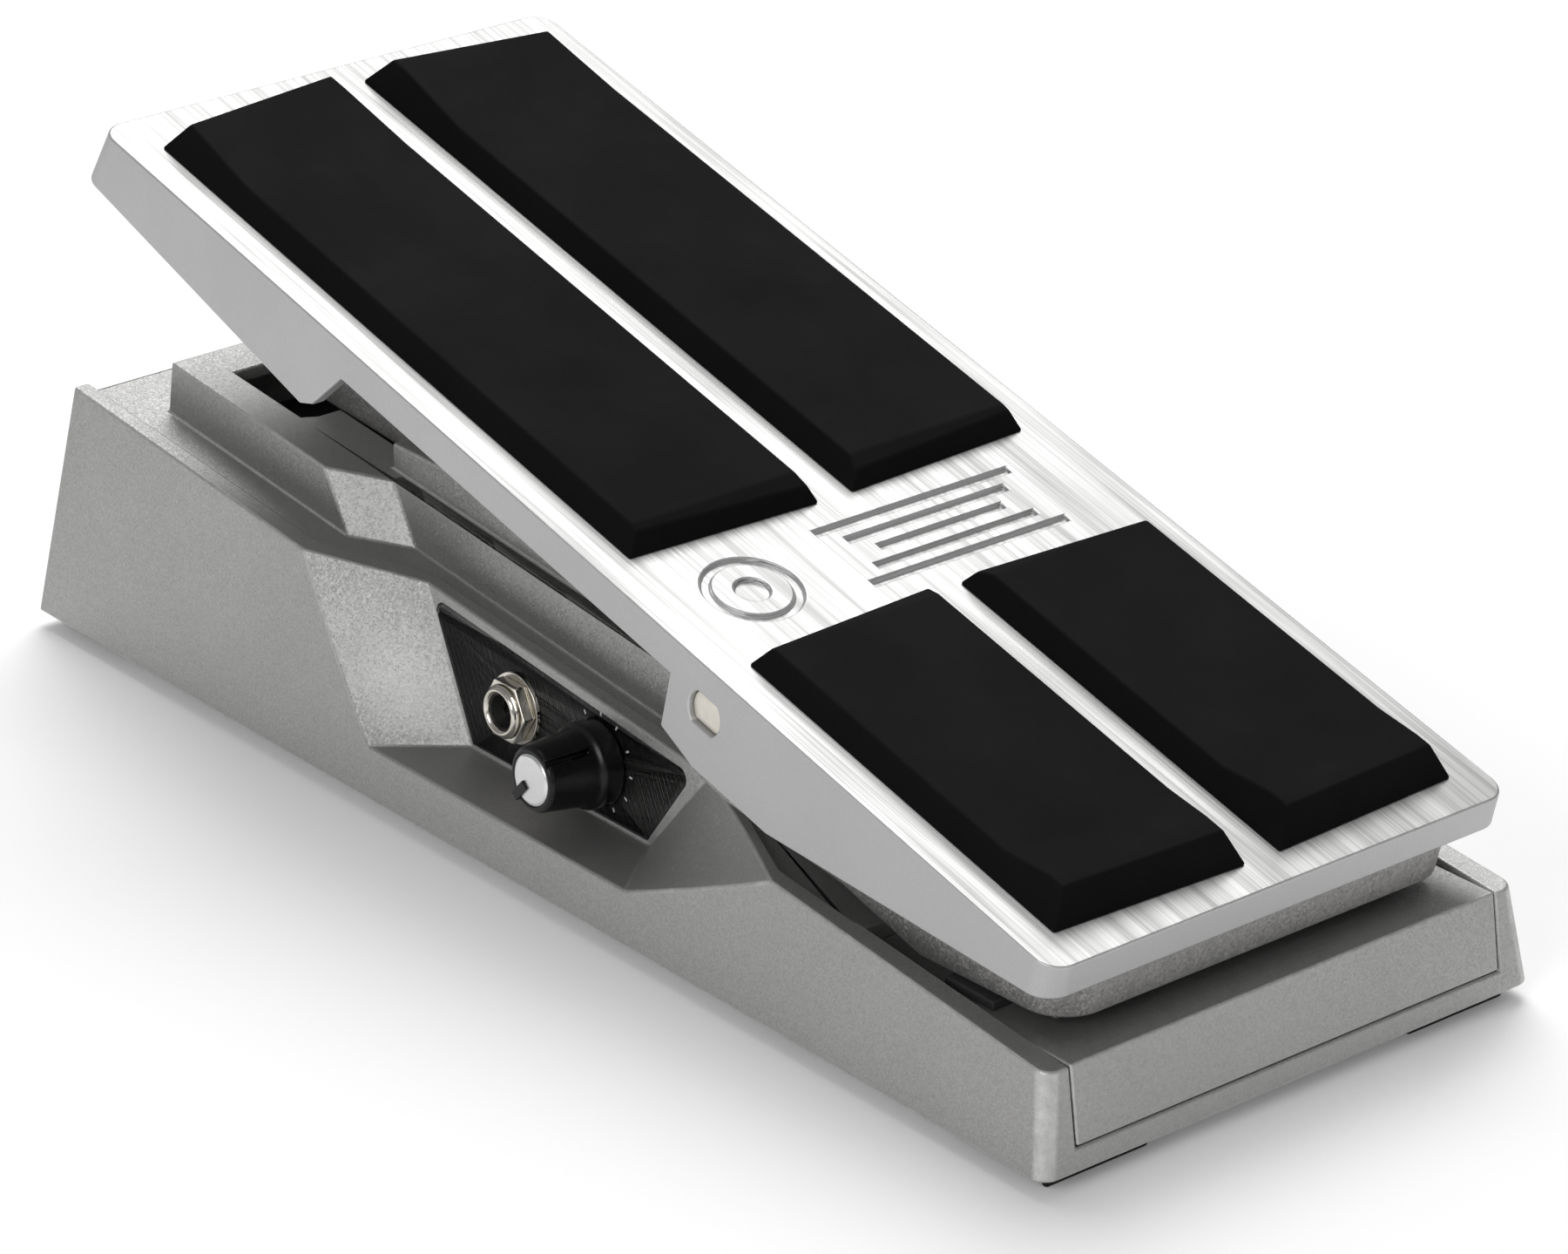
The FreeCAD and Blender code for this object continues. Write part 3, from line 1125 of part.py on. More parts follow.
# pivot
for side, word in ((-1, "left"), (1, "right")):
    inner_face = "(%s - tower_inset - tower_lip)" % HALF
    outer_face = "(%s - waist_inset)" % HALF
    sign = "-" if side < 0 else ""

    def sleeve_between(label, near, far, inner, outer):
        start = near if side > 0 else "-(%s)" % far
        body = ring(label, inner, outer, start, "(%s) - (%s)" % (far, near))
        return turned(body, "0", PIVOT_Y, PIVOT_Z)

    nodes["pivot_bushing_" + word] = sleeve_between(
        "bushing_" + word, inner_face, outer_face, "pivot_radius + shaft_clearance",
        "pivot_radius + shaft_clearance + bushing_wall")
    nodes["friction_washer_" + word] = sleeve_between(
        "washer_pivot_" + word, outer_face + " + 0.05", outer_face + " + 1.25",
        "pivot_radius + shaft_clearance", "boss_radius")

shaft_ends = shaft_profile("shaft_ends", "0", "2 * %s - 1.9" % TREADLE_HALF,
                           "0.95 - %s" % TREADLE_HALF)
shaft_middle = rod("shaft_middle", ("1 - (%s - frame_wall)" % FRAME_HALF, "0", "0"),
                   "pivot_radius", "2 * (%s - frame_wall - 1)" % FRAME_HALF, "x")
nodes["pivot_shaft"] = on_treadle(fused("shaft_bar", [shaft_ends, shaft_middle]))
collar_face = "(%s - waist_inset + 1.3)" % HALF
collars = [ring("collar_right", "pivot_radius + 0.01", "boss_radius", collar_face, "4"),
           ring("collar_left", "pivot_radius + 0.01", "boss_radius", "-%s - 4" % collar_face, "4")]
for collar in collars:
    turned(collar, "0", PIVOT_Y, PIVOT_Z)
nodes["shaft_collars"] = collars

# stops at both ends of the travel
heel_stops = []
for i, sign in enumerate(("-", "")):
    middle = sign + "(%s - frame_wall / 2)" % FRAME_HALF
    heel_stops.append(box("heel_stop_%d" % i,
                          (middle + " - 2", along("24"), up("cover_top + 0.02")),
                          (middle + " + 2", along("36"), up("frame_floor - 0.3"))))
nodes["heel_stop_pads"] = heel_stops
toe_stops = []
for i, sign in enumerate(("-", "")):
    stop = rod("toe_stop_%d" % i, ("0", "0", "0"), "3.3", "bumper_gap - 0.05")
    stop_y = "(%s - 6)" % BLOCK_TOE
    toe_stops.append(turned(stop, sign + "toe_stop_spread", along(stop_y),
                            "%s + %s + 0.02" % (rim(stop_y), BLOCK_RISE), (1, 0, 0), "rim_slope"))
nodes["toe_stop_pads"] = toe_stops

# treadle
nodes["treadle_shell"] = on_treadle(treadle_shell())
nodes["treadle_frame"] = on_treadle(treadle_frame())
toe_pad = tread_pad("toe_pad", "(%s + toe_pad_start)" % TREADLE_HEEL, "pad_back",
                    "(%s - toe_pad_margin)" % TREADLE_TOE, "toe_pad_back", "toe")
heel_pad = tread_pad("heel_pad", "(%s + heel_pad_start)" % TREADLE_HEEL, "pad_back",
                     "(%s + heel_pad_end)" % TREADLE_HEEL, "heel_pad_back", "heel")
for word, right_pad in (("toe", toe_pad), ("heel", heel_pad)):
    nodes[word + "_pad_right"] = on_treadle(right_pad)
    nodes[word + "_pad_left"] = mirrored(word + "_pad_mirror", right_pad)

# rack under the treadle, and the pinion on the potentiometer's shaft
FLANGE_TOP = depth("plate_thickness + frame_wall + 0.02")
toothed = doc.addObject("Part::Feature", "rack_teeth")
toothed.Shape = rack_shape()
arm = box("rack_arm", ("-rack_width / 2", "rack_radius - 8", FLANGE_TOP + " - 10"),
          ("rack_width / 2", "rack_radius - 1.2", FLANGE_TOP))
flange = box("rack_flange", ("-9", "rack_radius - 17", FLANGE_TOP + " - 2"),
             ("9", "rack_radius + 5", FLANGE_TOP))
flange_holes = [rod("flange_hole_%d" % i, (x, y, "-20"), "screw_radius + 0.1", "40")
                for i, (x, y) in enumerate(RACK_SCREWS)]
nodes["sector_rack"] = on_treadle(cut("rack_whole", fused("rack_blank", [toothed, arm, flange]),
                                      flange_holes))
rack_screws = []
for i, (x, y) in enumerate(RACK_SCREWS):
    fixing = screw("rack_screw_%d" % i, x, y, FLANGE_TOP + " - 2.02", "3.6", True)
    rack_screws.append(on_treadle(fixing))
nodes["rack_screws"] = rack_screws

pinion = doc.addObject("Part::Feature", "pinion_teeth_shape")
pinion.Shape = pinion_shape()
nodes["drive_pinion"] = turned(pinion, "0", PINION_Y, PINION_Z)

# ---------------------------------------------------------------- names, checks, export

doc.recompute()
for name, made in nodes.items():
    if isinstance(made, list):
        group = doc.addObject("Part::Compound", name)
        group.Links = made
        nodes[name] = group
doc.recompute()
for thing in doc.Objects:
    if "Invalid" in thing.State or "Error" in thing.State:
        raise RuntimeError("%s cannot be built: %s" % (thing.Label, thing.State))
for name, thing in nodes.items():
    thing.Label = name
    if thing.Shape.isNull() or not thing.Shape.isValid():
        raise RuntimeError("%s has no valid shape" % name)
    thing.Shape.exportStep(os.path.join("parts", name + ".step"))
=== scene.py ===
import json
import math

import bmesh
import bpy
from mathutils import Matrix, Vector


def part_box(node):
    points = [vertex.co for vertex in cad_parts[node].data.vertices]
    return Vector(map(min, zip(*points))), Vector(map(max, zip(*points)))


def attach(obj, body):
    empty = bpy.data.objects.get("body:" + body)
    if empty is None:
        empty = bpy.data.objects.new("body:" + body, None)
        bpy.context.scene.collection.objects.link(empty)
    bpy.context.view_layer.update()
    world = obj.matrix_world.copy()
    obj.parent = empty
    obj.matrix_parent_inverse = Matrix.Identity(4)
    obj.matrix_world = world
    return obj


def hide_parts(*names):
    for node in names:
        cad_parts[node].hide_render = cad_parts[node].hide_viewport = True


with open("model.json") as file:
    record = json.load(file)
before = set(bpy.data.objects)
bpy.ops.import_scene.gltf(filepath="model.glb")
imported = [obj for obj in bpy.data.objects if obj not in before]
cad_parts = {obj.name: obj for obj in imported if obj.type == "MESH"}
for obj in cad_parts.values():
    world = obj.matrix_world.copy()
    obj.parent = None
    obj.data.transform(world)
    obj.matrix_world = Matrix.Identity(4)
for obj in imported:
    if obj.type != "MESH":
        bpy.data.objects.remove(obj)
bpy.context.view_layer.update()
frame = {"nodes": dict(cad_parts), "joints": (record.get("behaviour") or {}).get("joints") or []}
nodes = frame["nodes"]
joints = {joint["name"]: joint for joint in frame["joints"]}

MM = 0.001


# ---------------------------------------------------------------- node trees

def add_node(tree, kind, values=None, **properties):
    """A node with its properties set and its inputs given plain values."""
    node = tree.nodes.new(kind)
    for name, value in properties.items():
        setattr(node, name, value)
    for name, value in (values or {}).items():
        node.inputs[name].default_value = value
    return node


def new_group(name, inputs, outputs, kind="ShaderNodeTree"):
    """A node group with named inputs and outputs; returns it with its two ends."""
    group = bpy.data.node_groups.new(name, kind)
    for label, socket_type, value in inputs:
        socket = group.interface.new_socket(name=label, in_out="INPUT", socket_type=socket_type)
        if value is not None:
            socket.default_value = value
    for label, socket_type in outputs:
        group.interface.new_socket(name=label, in_out="OUTPUT", socket_type=socket_type)
    return group, group.nodes.new("NodeGroupInput"), group.nodes.new("NodeGroupOutput")


def arithmetic(tree, operation, first, second):
    """A math node over sockets or plain numbers; returns its result socket."""
    node = add_node(tree, "ShaderNodeMath", operation=operation)
    for slot, value in ((0, first), (1, second)):
        if isinstance(value, (int, float)):
            node.inputs[slot].default_value = value
        else:
            tree.links.new(value, node.inputs[slot])
    return node.outputs[0]


def vectors(tree, operation, first, second):
    """A vector math node over sockets or plain triples; returns its vector socket."""
    node = add_node(tree, "ShaderNodeVectorMath", operation=operation)
    for slot, value in ((0, first), (1, second)):
        if isinstance(value, (tuple, list)):
            node.inputs[slot].default_value = value
        else:
            tree.links.new(value, node.inputs[slot])
    return node.outputs[0]


def scaled(tree, vector, factor):
    """A vector times a number held by a socket."""
    node = add_node(tree, "ShaderNodeVectorMath", operation="SCALE")
    tree.links.new(vector, node.inputs[0])
    tree.links.new(factor, node.inputs["Scale"])
    return node.outputs[0]


def mixed_colour(tree, factor, first, second):
    """A colour between two, by a mask."""
    node = add_node(tree, "ShaderNodeMix", data_type="RGBA", clamp_factor=True)
    tree.links.new(factor, node.inputs[0])
    for slot, value in ((6, first), (7, second)):
        if isinstance(value, (tuple, list)):
            node.inputs[slot].default_value = (*value[:3], 1.0)
        else:
            tree.links.new(value, node.inputs[slot])
    return node.outputs[2]


def mapped(tree, value, low, high, to_low, to_high):
    """A value moved from one range to another, held inside it."""
    node = add_node(tree, "ShaderNodeMapRange", {
        "From Min": low, "From Max": high, "To Min": to_low, "To Max": to_high})
    tree.links.new(value, node.inputs["Value"])
    return node.outputs["Result"]


def noise_value(tree, vector, scale, detail=2.0):
    """Noise over a vector, at a scale given as a number or a socket."""
    node = add_node(tree, "ShaderNodeTexNoise", {"Detail": detail, "Roughness": 0.6})
    tree.links.new(vector, node.inputs["Vector"])
    if isinstance(scale, (int, float)):
        node.inputs["Scale"].default_value = scale
    else:
        tree.links.new(scale, node.inputs["Scale"])
    return node.outputs["Fac"]


# ---------------------------------------------------------------- surface effects

def metal_flake():
    """Metal flakes under lacquer: each leans its own way and has its own tone."""
    group, given, result = new_group(
        "metal_flake",
        [("Place", "NodeSocketVector", None), ("Flakes per metre", "NodeSocketFloat", 2200.0),
         ("Lean", "NodeSocketFloat", 0.3), ("Contrast", "NodeSocketFloat", 0.2)],
        [("Tone", "NodeSocketFloat"), ("Normal", "NodeSocketVector")])
    cells = add_node(group, "ShaderNodeTexVoronoi", feature="F1")
    group.links.new(given.outputs["Place"], cells.inputs["Vector"])
    group.links.new(given.outputs["Flakes per metre"], cells.inputs["Scale"])
    lean = vectors(group, "SUBTRACT", cells.outputs["Color"], (0.5, 0.5, 0.5))
    lean = scaled(group, lean, given.outputs["Lean"])
    surface = add_node(group, "ShaderNodeNewGeometry")
    leaned = vectors(group, "ADD", surface.outputs["Normal"], lean)
    normal = vectors(group, "NORMALIZE", leaned, (0, 0, 0))
    group.links.new(normal, result.inputs["Normal"])
    parts = add_node(group, "ShaderNodeSeparateColor")
    group.links.new(cells.outputs["Color"], parts.inputs[0])
    swing = arithmetic(group, "SUBTRACT", parts.outputs[0], 0.5)
    swing = arithmetic(group, "MULTIPLY", swing, given.outputs["Contrast"])
    group.links.new(arithmetic(group, "ADD", swing, 1.0), result.inputs["Tone"])
    return group


def brushed_lines():
    """Lines left by a belt along the treadle, short and long ones laid over each other."""
    group, given, result = new_group(
        "brushed_lines",
        [("Place", "NodeSocketVector", None), ("Lines per metre", "NodeSocketFloat", 2500.0),
         ("Run", "NodeSocketFloat", 25.0)],
        [("Tone", "NodeSocketFloat"), ("Height", "NodeSocketFloat")])
    across = add_node(group, "ShaderNodeSeparateXYZ")
    group.links.new(given.outputs["Place"], across.inputs[0])
    heights = []
    for fineness, reach in ((1.0, 1.0), (0.37, 0.45), (0.12, 0.8)):
        lines = arithmetic(group, "MULTIPLY", given.outputs["Lines per metre"], fineness)
        run = arithmetic(group, "MULTIPLY", given.outputs["Run"], reach)
        drawn = add_node(group, "ShaderNodeCombineXYZ")
        group.links.new(arithmetic(group, "MULTIPLY", across.outputs[0], lines), drawn.inputs[0])
        group.links.new(arithmetic(group, "MULTIPLY", across.outputs[1], run), drawn.inputs[1])
        heights.append(noise_value(group, drawn.outputs[0], 1.0, 1.0))
    total = arithmetic(group, "ADD", heights[0], heights[1])
    total = arithmetic(group, "ADD", total, heights[2])
    height = arithmetic(group, "MULTIPLY", total, 1 / 3)
    group.links.new(height, result.inputs["Height"])
    group.links.new(mapped(group, height, 0.38, 0.62, 0.0, 1.0), result.inputs["Tone"])
    return group


def worn_edge_and_highlight():
    """Where an eased edge is painted bright, as rubbed wear and as a painted highlight along the
    edge, broken up by noise.
    """
    group, given, result = new_group(
        "worn_edge_and_highlight",
        [("Place", "NodeSocketVector", None), ("Edge", "NodeSocketFloat", 0.0),
         ("Amount", "NodeSocketFloat", 0.5)],
        [("Mask", "NodeSocketFloat")])
    broken = mapped(group, noise_value(group, given.outputs["Place"], 450.0), 0.3, 0.7, 0.45, 1.0)
    mask = arithmetic(group, "MULTIPLY", given.outputs["Edge"], broken)
    mask = arithmetic(group, "MULTIPLY", mask, given.outputs["Amount"])
    group.links.new(mask, result.inputs["Mask"])
    return group


def fine_grain():
    """The grain of a moulded surface: pits and swells a fraction of a millimetre wide."""
    group, given, result = new_group(
        "fine_grain",
        [("Place", "NodeSocketVector", None), ("Grains per metre", "NodeSocketFloat", 2500.0)],
        [("Height", "NodeSocketFloat"), ("Tone", "NodeSocketFloat")])
    grains = given.outputs["Grains per metre"]
    fine = noise_value(group, given.outputs["Place"], grains, 3.0)
    broad = noise_value(group, given.outputs["Place"], 60.0, 2.0)
    group.links.new(fine, result.inputs["Height"])
    group.links.new(arithmetic(group, "ADD", arithmetic(group, "MULTIPLY", fine, 0.5),
                               arithmetic(group, "MULTIPLY", broad, 0.5)),
                    result.inputs["Tone"])
    return group


def handled():
    """Broad patches where hands and shoes have changed the shine."""
    group, given, result = new_group(
        "handled",
        [("Place", "NodeSocketVector", None), ("Clean", "NodeSocketFloat", 0.3),
         ("Dull", "NodeSocketFloat", 0.45)],
        [("Roughness", "NodeSocketFloat")])
    patches = noise_value(group, given.outputs["Place"], 38.0, 4.0)
    spread = mapped(group, patches, 0.3, 0.7, 0.0, 1.0)
    reach = arithmetic(group, "SUBTRACT", given.outputs["Dull"], given.outputs["Clean"])
    rough = arithmetic(group, "MULTIPLY", spread, reach)
    group.links.new(arithmetic(group, "ADD", rough, given.outputs["Clean"]),
                    result.inputs["Roughness"])
    return group


FLAKE = metal_flake()
BRUSH = brushed_lines()
WEAR_AND_HIGHLIGHT = worn_edge_and_highlight()
GRAIN = fine_grain()
HANDLED = handled()


def use(tree, group, place, **values):
    """One of the effects above, placed in a material with its own values."""
    node = add_node(tree, "ShaderNodeGroup", node_tree=group)
    tree.links.new(place, node.inputs["Place"])
    for name, value in values.items():
        socket = node.inputs[name.replace("_", " ")]
        if isinstance(value, (int, float)):
            socket.default_value = value
        else:
            tree.links.new(value, socket)
    return node


def new_material(name, **values):
    """A material with one Principled surface; returns it, its tree, the surface and its place."""
    material = bpy.data.materials.new(name)
    material.use_nodes = True
    tree = material.node_tree
    tree.nodes.clear()
    surface = add_node(tree, "ShaderNodeBsdfPrincipled",
                       {label.replace("_", " "): value for label, value in values.items()})
    output = tree.nodes.new("ShaderNodeOutputMaterial")
    tree.links.new(surface.outputs[0], output.inputs["Surface"])
    place = tree.nodes.new("ShaderNodeTexCoord").outputs["Object"]
    return material, tree, surface, place


def edge_mask(tree, place, amount):
    """The mask of eased edges painted lighter, as wear and as a painted highlight, from what the
    edge easing wrote on the piece.
    """
    edge = add_node(tree, "ShaderNodeAttribute", attribute_name="edge")
    return use(tree, WEAR_AND_HIGHLIGHT, place, Edge=edge.outputs["Fac"], Amount=amount).outputs["Mask"]


def flake_paint(name, colour, bright, flakes, lean, contrast, clean, dull, wear_and_highlight, metallic=0.8):
    """Silver paint: grains of metal, eased edges painted lighter as wear and as a painted
    highlight, and a little handling.
    """
    material, tree, surface, place = new_material(name, Metallic=metallic)
    flake = use(tree, FLAKE, place, Flakes_per_metre=flakes, Lean=lean, Contrast=contrast)
    tone = vectors(tree, "MULTIPLY", colour, (1, 1, 1))
    toned = scaled(tree, tone, flake.outputs["Tone"])
    mask = edge_mask(tree, place, wear_and_highlight)
    # Lighter colour on the eased edges: rubbed wear and a painted highlight.
    tree.links.new(mixed_colour(tree, mask, toned, bright), surface.inputs["Base Color"])
    tree.links.new(use(tree, HANDLED, place, Clean=clean, Dull=dull).outputs[0],
                   surface.inputs["Roughness"])
    tree.links.new(flake.outputs["Normal"], surface.inputs["Normal"])
    return material


def brushed_metal(name, dark, light, lines, run, depth, clean, dull, wear_and_highlight=0.4):
    """Bare metal with brushed lines along the treadle, its eased edges painted near white as wear
    and as a painted highlight.
    """
    material, tree, surface, place = new_material(name, Metallic=0.9)
    brush = use(tree, BRUSH, place, Lines_per_metre=lines, Run=run)
    colour = mixed_colour(tree, brush.outputs["Tone"], dark, light)
    mask = edge_mask(tree, place, wear_and_highlight)
    # Near white on the eased edges: rubbed wear and a painted highlight.
    tree.links.new(mixed_colour(tree, mask, colour, (0.9, 0.9, 0.9)), surface.inputs["Base Color"])
    tree.links.new(use(tree, HANDLED, place, Clean=clean, Dull=dull).outputs[0],
                   surface.inputs["Roughness"])
    bump = add_node(tree, "ShaderNodeBump", {"Strength": 0.5, "Distance": depth})
    tree.links.new(brush.outputs["Height"], bump.inputs["Height"])
    tree.links.new(bump.outputs[0], surface.inputs["Normal"])
    return material


def moulded(name, dark, light, grains, depth, clean, dull, strength=0.6, **values):
    """A moulding in rubber or plastic: grain, slight tone and worn shine."""
    material, tree, surface, place = new_material(name, **values)
    grain = use(tree, GRAIN, place, Grains_per_metre=grains)
    tone = mapped(tree, grain.outputs["Tone"], 0.35, 0.65, 0.0, 1.0)
    tree.links.new(mixed_colour(tree, tone, dark, light), surface.inputs["Base Color"])
    tree.links.new(use(tree, HANDLED, place, Clean=clean, Dull=dull).outputs[0],
                   surface.inputs["Roughness"])
    bump = add_node(tree, "ShaderNodeBump", {"Strength": strength, "Distance": depth})
    tree.links.new(grain.outputs["Height"], bump.inputs["Height"])
    tree.links.new(bump.outputs[0], surface.inputs["Normal"])
    return material


# ---------------------------------------------------------------- finishes

casting_paint = flake_paint("grainy_silver_paint", (0.40, 0.398, 0.392), (0.75, 0.75, 0.74),
                            3400.0, 0.20, 0.22, 0.46, 0.52, 0.6)
treadle_paint = flake_paint("satin_silver_paint", (0.50, 0.50, 0.50), (0.8, 0.8, 0.8),
                            4200.0, 0.05, 0.06, 0.48, 0.54, 0.35)
frame_paint = flake_paint("rough_casting_paint", (0.34, 0.335, 0.33), (0.5, 0.5, 0.5),
                          2600.0, 0.28, 0.35, 0.5, 0.58, 0.3)
brushed_top = brushed_metal("brushed_treadle_top", (0.25, 0.25, 0.247), (0.46, 0.46, 0.456),
                            2600.0, 22.0, 0.00003, 0.40, 0.46)
pad_rubber = moulded("tread_rubber", (0.0050, 0.0050, 0.0052), (0.0068, 0.0068, 0.0070),
                     2600.0, 0.00006, 0.70, 0.80, 0.4, Specular_IOR_Level=0.05)
foot_rubber = moulded("foot_rubber", (0.006, 0.006, 0.006), (0.011, 0.011, 0.011),
                      1800.0, 0.00008, 0.6, 0.75, 0.5, Specular_IOR_Level=0.25)
stop_rubber = moulded("stop_rubber", (0.02, 0.02, 0.02), (0.035, 0.035, 0.035),
                      1800.0, 0.00010, 0.65, 0.8)
gloss_panel = moulded("gloss_black_panel", (0.0050, 0.0048, 0.0046), (0.0075, 0.0072, 0.0068),
                      600.0, 0.000004, 0.16, 0.24, 0.2, Specular_IOR_Level=0.14)
knob_plastic = moulded("satin_black_knob", (0.0040, 0.0040, 0.0042), (0.0065, 0.0065, 0.0068),
                       2500.0, 0.000010, 0.24, 0.30, 0.3, Specular_IOR_Level=0.30)
dark_plastic = moulded("black_moulding", (0.015, 0.015, 0.015), (0.03, 0.03, 0.03),
                       2500.0, 0.00004, 0.4, 0.5)
white_acetal = moulded("natural_acetal", (0.76, 0.75, 0.71), (0.85, 0.84, 0.80),
                       1500.0, 0.00002, 0.35, 0.45, 0.3)
board_lacquer = moulded("green_board_lacquer", (0.02, 0.12, 0.05), (0.04, 0.19, 0.08),
                        700.0, 0.00003, 0.25, 0.35)
printed_mark = moulded("pale_printed_mark", (0.50, 0.50, 0.49), (0.62, 0.62, 0.61),
                       3000.0, 0.00001, 0.45, 0.55, 0.3)


def plated(name, dark, light, scale, clean, dull, depth=0.00001):
    """Plated or turned metal: cloudy tone and fine scratches."""
    material, tree, surface, place = new_material(name, Metallic=1.0)
    cloud = noise_value(tree, place, scale, 3.0)
    tree.links.new(mixed_colour(tree, mapped(tree, cloud, 0.35, 0.65, 0.0, 1.0), dark, light),
                   surface.inputs["Base Color"])
    tree.links.new(use(tree, HANDLED, place, Clean=clean, Dull=dull).outputs[0],
                   surface.inputs["Roughness"])
    bump = add_node(tree, "ShaderNodeBump", {"Strength": 0.4, "Distance": depth})
    tree.links.new(noise_value(tree, place, scale * 6, 4.0), bump.inputs["Height"])
    tree.links.new(bump.outputs[0], surface.inputs["Normal"])
    return material


bright_nickel = plated("bright_nickel", (0.60, 0.57, 0.51), (0.78, 0.75, 0.69), 300.0, 0.12, 0.22)
shaft_end = plated("nickel_shaft", (0.70, 0.67, 0.60), (0.80, 0.77, 0.70), 250.0, 0.38, 0.5)
zinc_plate = plated("zinc_plated_sheet", (0.42, 0.42, 0.43), (0.60, 0.60, 0.62), 60.0, 0.28, 0.42,
                    0.00003)
turned_brass = plated("turned_brass", (0.62, 0.45, 0.20), (0.76, 0.58, 0.30), 300.0, 0.25, 0.35)


def spun_cap_metal():
    """Spun aluminium: rings about the knob's own axis."""
    material, tree, surface, place = new_material("spun_aluminium", Metallic=1.0, Anisotropic=0.6)
    low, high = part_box("knob_cap")
    centre = (low + high) / 2
    across = vectors(tree, "SUBTRACT", place, tuple(centre))
    ring = add_node(tree, "ShaderNodeVectorMath", operation="LENGTH")
    tree.links.new(vectors(tree, "MULTIPLY", across, (0.0, 1.0, 1.0)), ring.inputs[0])
    turns = add_node(tree, "ShaderNodeCombineXYZ")
    tree.links.new(arithmetic(tree, "MULTIPLY", ring.outputs["Value"], 9000.0), turns.inputs[0])
    rings = noise_value(tree, turns.outputs[0], 1.0, 1.0)
    tree.links.new(mixed_colour(tree, rings, (0.62, 0.62, 0.63), (0.88, 0.88, 0.89)),
                   surface.inputs["Base Color"])
    tree.links.new(mapped(tree, rings, 0.3, 0.7, 0.26, 0.38), surface.inputs["Roughness"])
    bump = add_node(tree, "ShaderNodeBump", {"Strength": 0.5, "Distance": 0.00002})
    tree.links.new(rings, bump.inputs["Height"])
    tree.links.new(bump.outputs[0], surface.inputs["Normal"])
    return material


spun_cap = spun_cap_metal()


# ---------------------------------------------------------------- meshes

def merged_copy(*names):
    """One clean mesh from CAD nodes: doubled points merged and flat faces joined."""
    form = bmesh.new()
    for name in names:
        form.from_mesh(nodes[name].data)
    bmesh.ops.remove_doubles(form, verts=form.verts, dist=0.002 * MM)
    bmesh.ops.dissolve_limit(form, angle_limit=math.radians(0.3), verts=form.verts,
                             edges=form.edges)
    for face in form.faces:
        face.material_index = 0
    return form


def crease(edge):
    """The angle between an edge's two faces, in degrees, or nothing at an open edge."""
    return math.degrees(edge.calc_face_angle(0.0)) if len(edge.link_faces) == 2 else 0.0


def middle(edge):
    """The middle of an edge in millimetres."""
    return (edge.verts[0].co + edge.verts[1].co) * 0.5 / MM


def along(edge):
    """The direction of an edge, with no sign."""
    line = (edge.verts[1].co - edge.verts[0].co).normalized()
    return Vector((abs(line.x), abs(line.y), abs(line.z)))


def ease(form, width, steps=3, sharper_than=28.0, where=None):
    """Round the sharp edges by a width in millimetres, and note which faces are new."""
    edges = [edge for edge in form.edges
             if crease(edge) > sharper_than and (where is None or where(edge))]
    bmesh.ops.bevel(form, geom=edges, offset=width * MM, offset_type="OFFSET", segments=steps,
                    profile=0.5, affect="EDGES", clamp_overlap=False, material=1,
                    loop_slide=True)
    return form


def note_edges(form):
    """Write on each point how much it lies on an outward eased edge."""
    wear_and_highlight_layer = form.verts.layers.float.new("edge")
    form.normal_update()
    for vert in form.verts:
        if vert.link_faces and all(face.material_index == 1 for face in vert.link_faces):
            bend = sum((edge.other_vert(vert).co - vert.co).dot(vert.normal)
                       for edge in vert.link_edges)
            # Outward eased edges get 1, where the paints turn lighter as wear and as a painted
            # highlight.
            vert[wear_and_highlight_layer] = 1.0 if bend < 0 else 0.0
    for face in form.faces:
        face.material_index = 0
    return form


def piece(name, form, body, materials, stands_for=()):
    """A finished object from a mesh: smooth, riding on its body, in its finish."""
    mesh = bpy.data.meshes.new(name)
    form.to_mesh(mesh)
    form.free()
    mesh.polygons.foreach_set("use_smooth", [True] * len(mesh.polygons))
    mesh.set_sharp_from_angle(angle=math.radians(38))
    thing = bpy.data.objects.new(name, mesh)
    bpy.context.scene.collection.objects.link(thing)
    for material in materials:
        mesh.materials.append(material)
    even = thing.modifiers.new("even_normals", "WEIGHTED_NORMAL")
    even.keep_sharp = True
    even.weight = 90
    settle(thing)
    return declare(thing, body, stands_for)


def settle(thing):
    """Turn an object's modifiers into plain mesh."""
    bpy.context.view_layer.update()
    evaluated = thing.evaluated_get(bpy.context.evaluated_depsgraph_get())
    finished = bpy.data.meshes.new_from_object(evaluated)
    thing.modifiers.clear()
    thing.data = finished
    return thing


def declare(thing, body, stands_for=()):
    """Hang a piece on its body's empty, and hide the CAD nodes it stands for."""
    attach(thing, body)
    if stands_for:
        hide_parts(*stands_for)
    return thing


# ---------------------------------------------------------------- castings

def base_casting():
    """The base: broad radii at its corners, small ones everywhere else."""
    form = merged_copy("base_shell")
    low, high = (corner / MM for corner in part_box("base_shell"))

    def outer_corner(edge):
        point = middle(edge)
        return (along(edge).z > 0.7 and high.x - abs(point.x) < 7.0
                and (point.y - low.y < 6.0 or high.y - point.y < 1.0))

    ease(form, 3.0, 6, 40.0, outer_corner)
    ease(form, 0.55, 3, 26.0)
    return piece("base_casting", note_edges(form), "base", [casting_paint],
                 ["base_shell"])


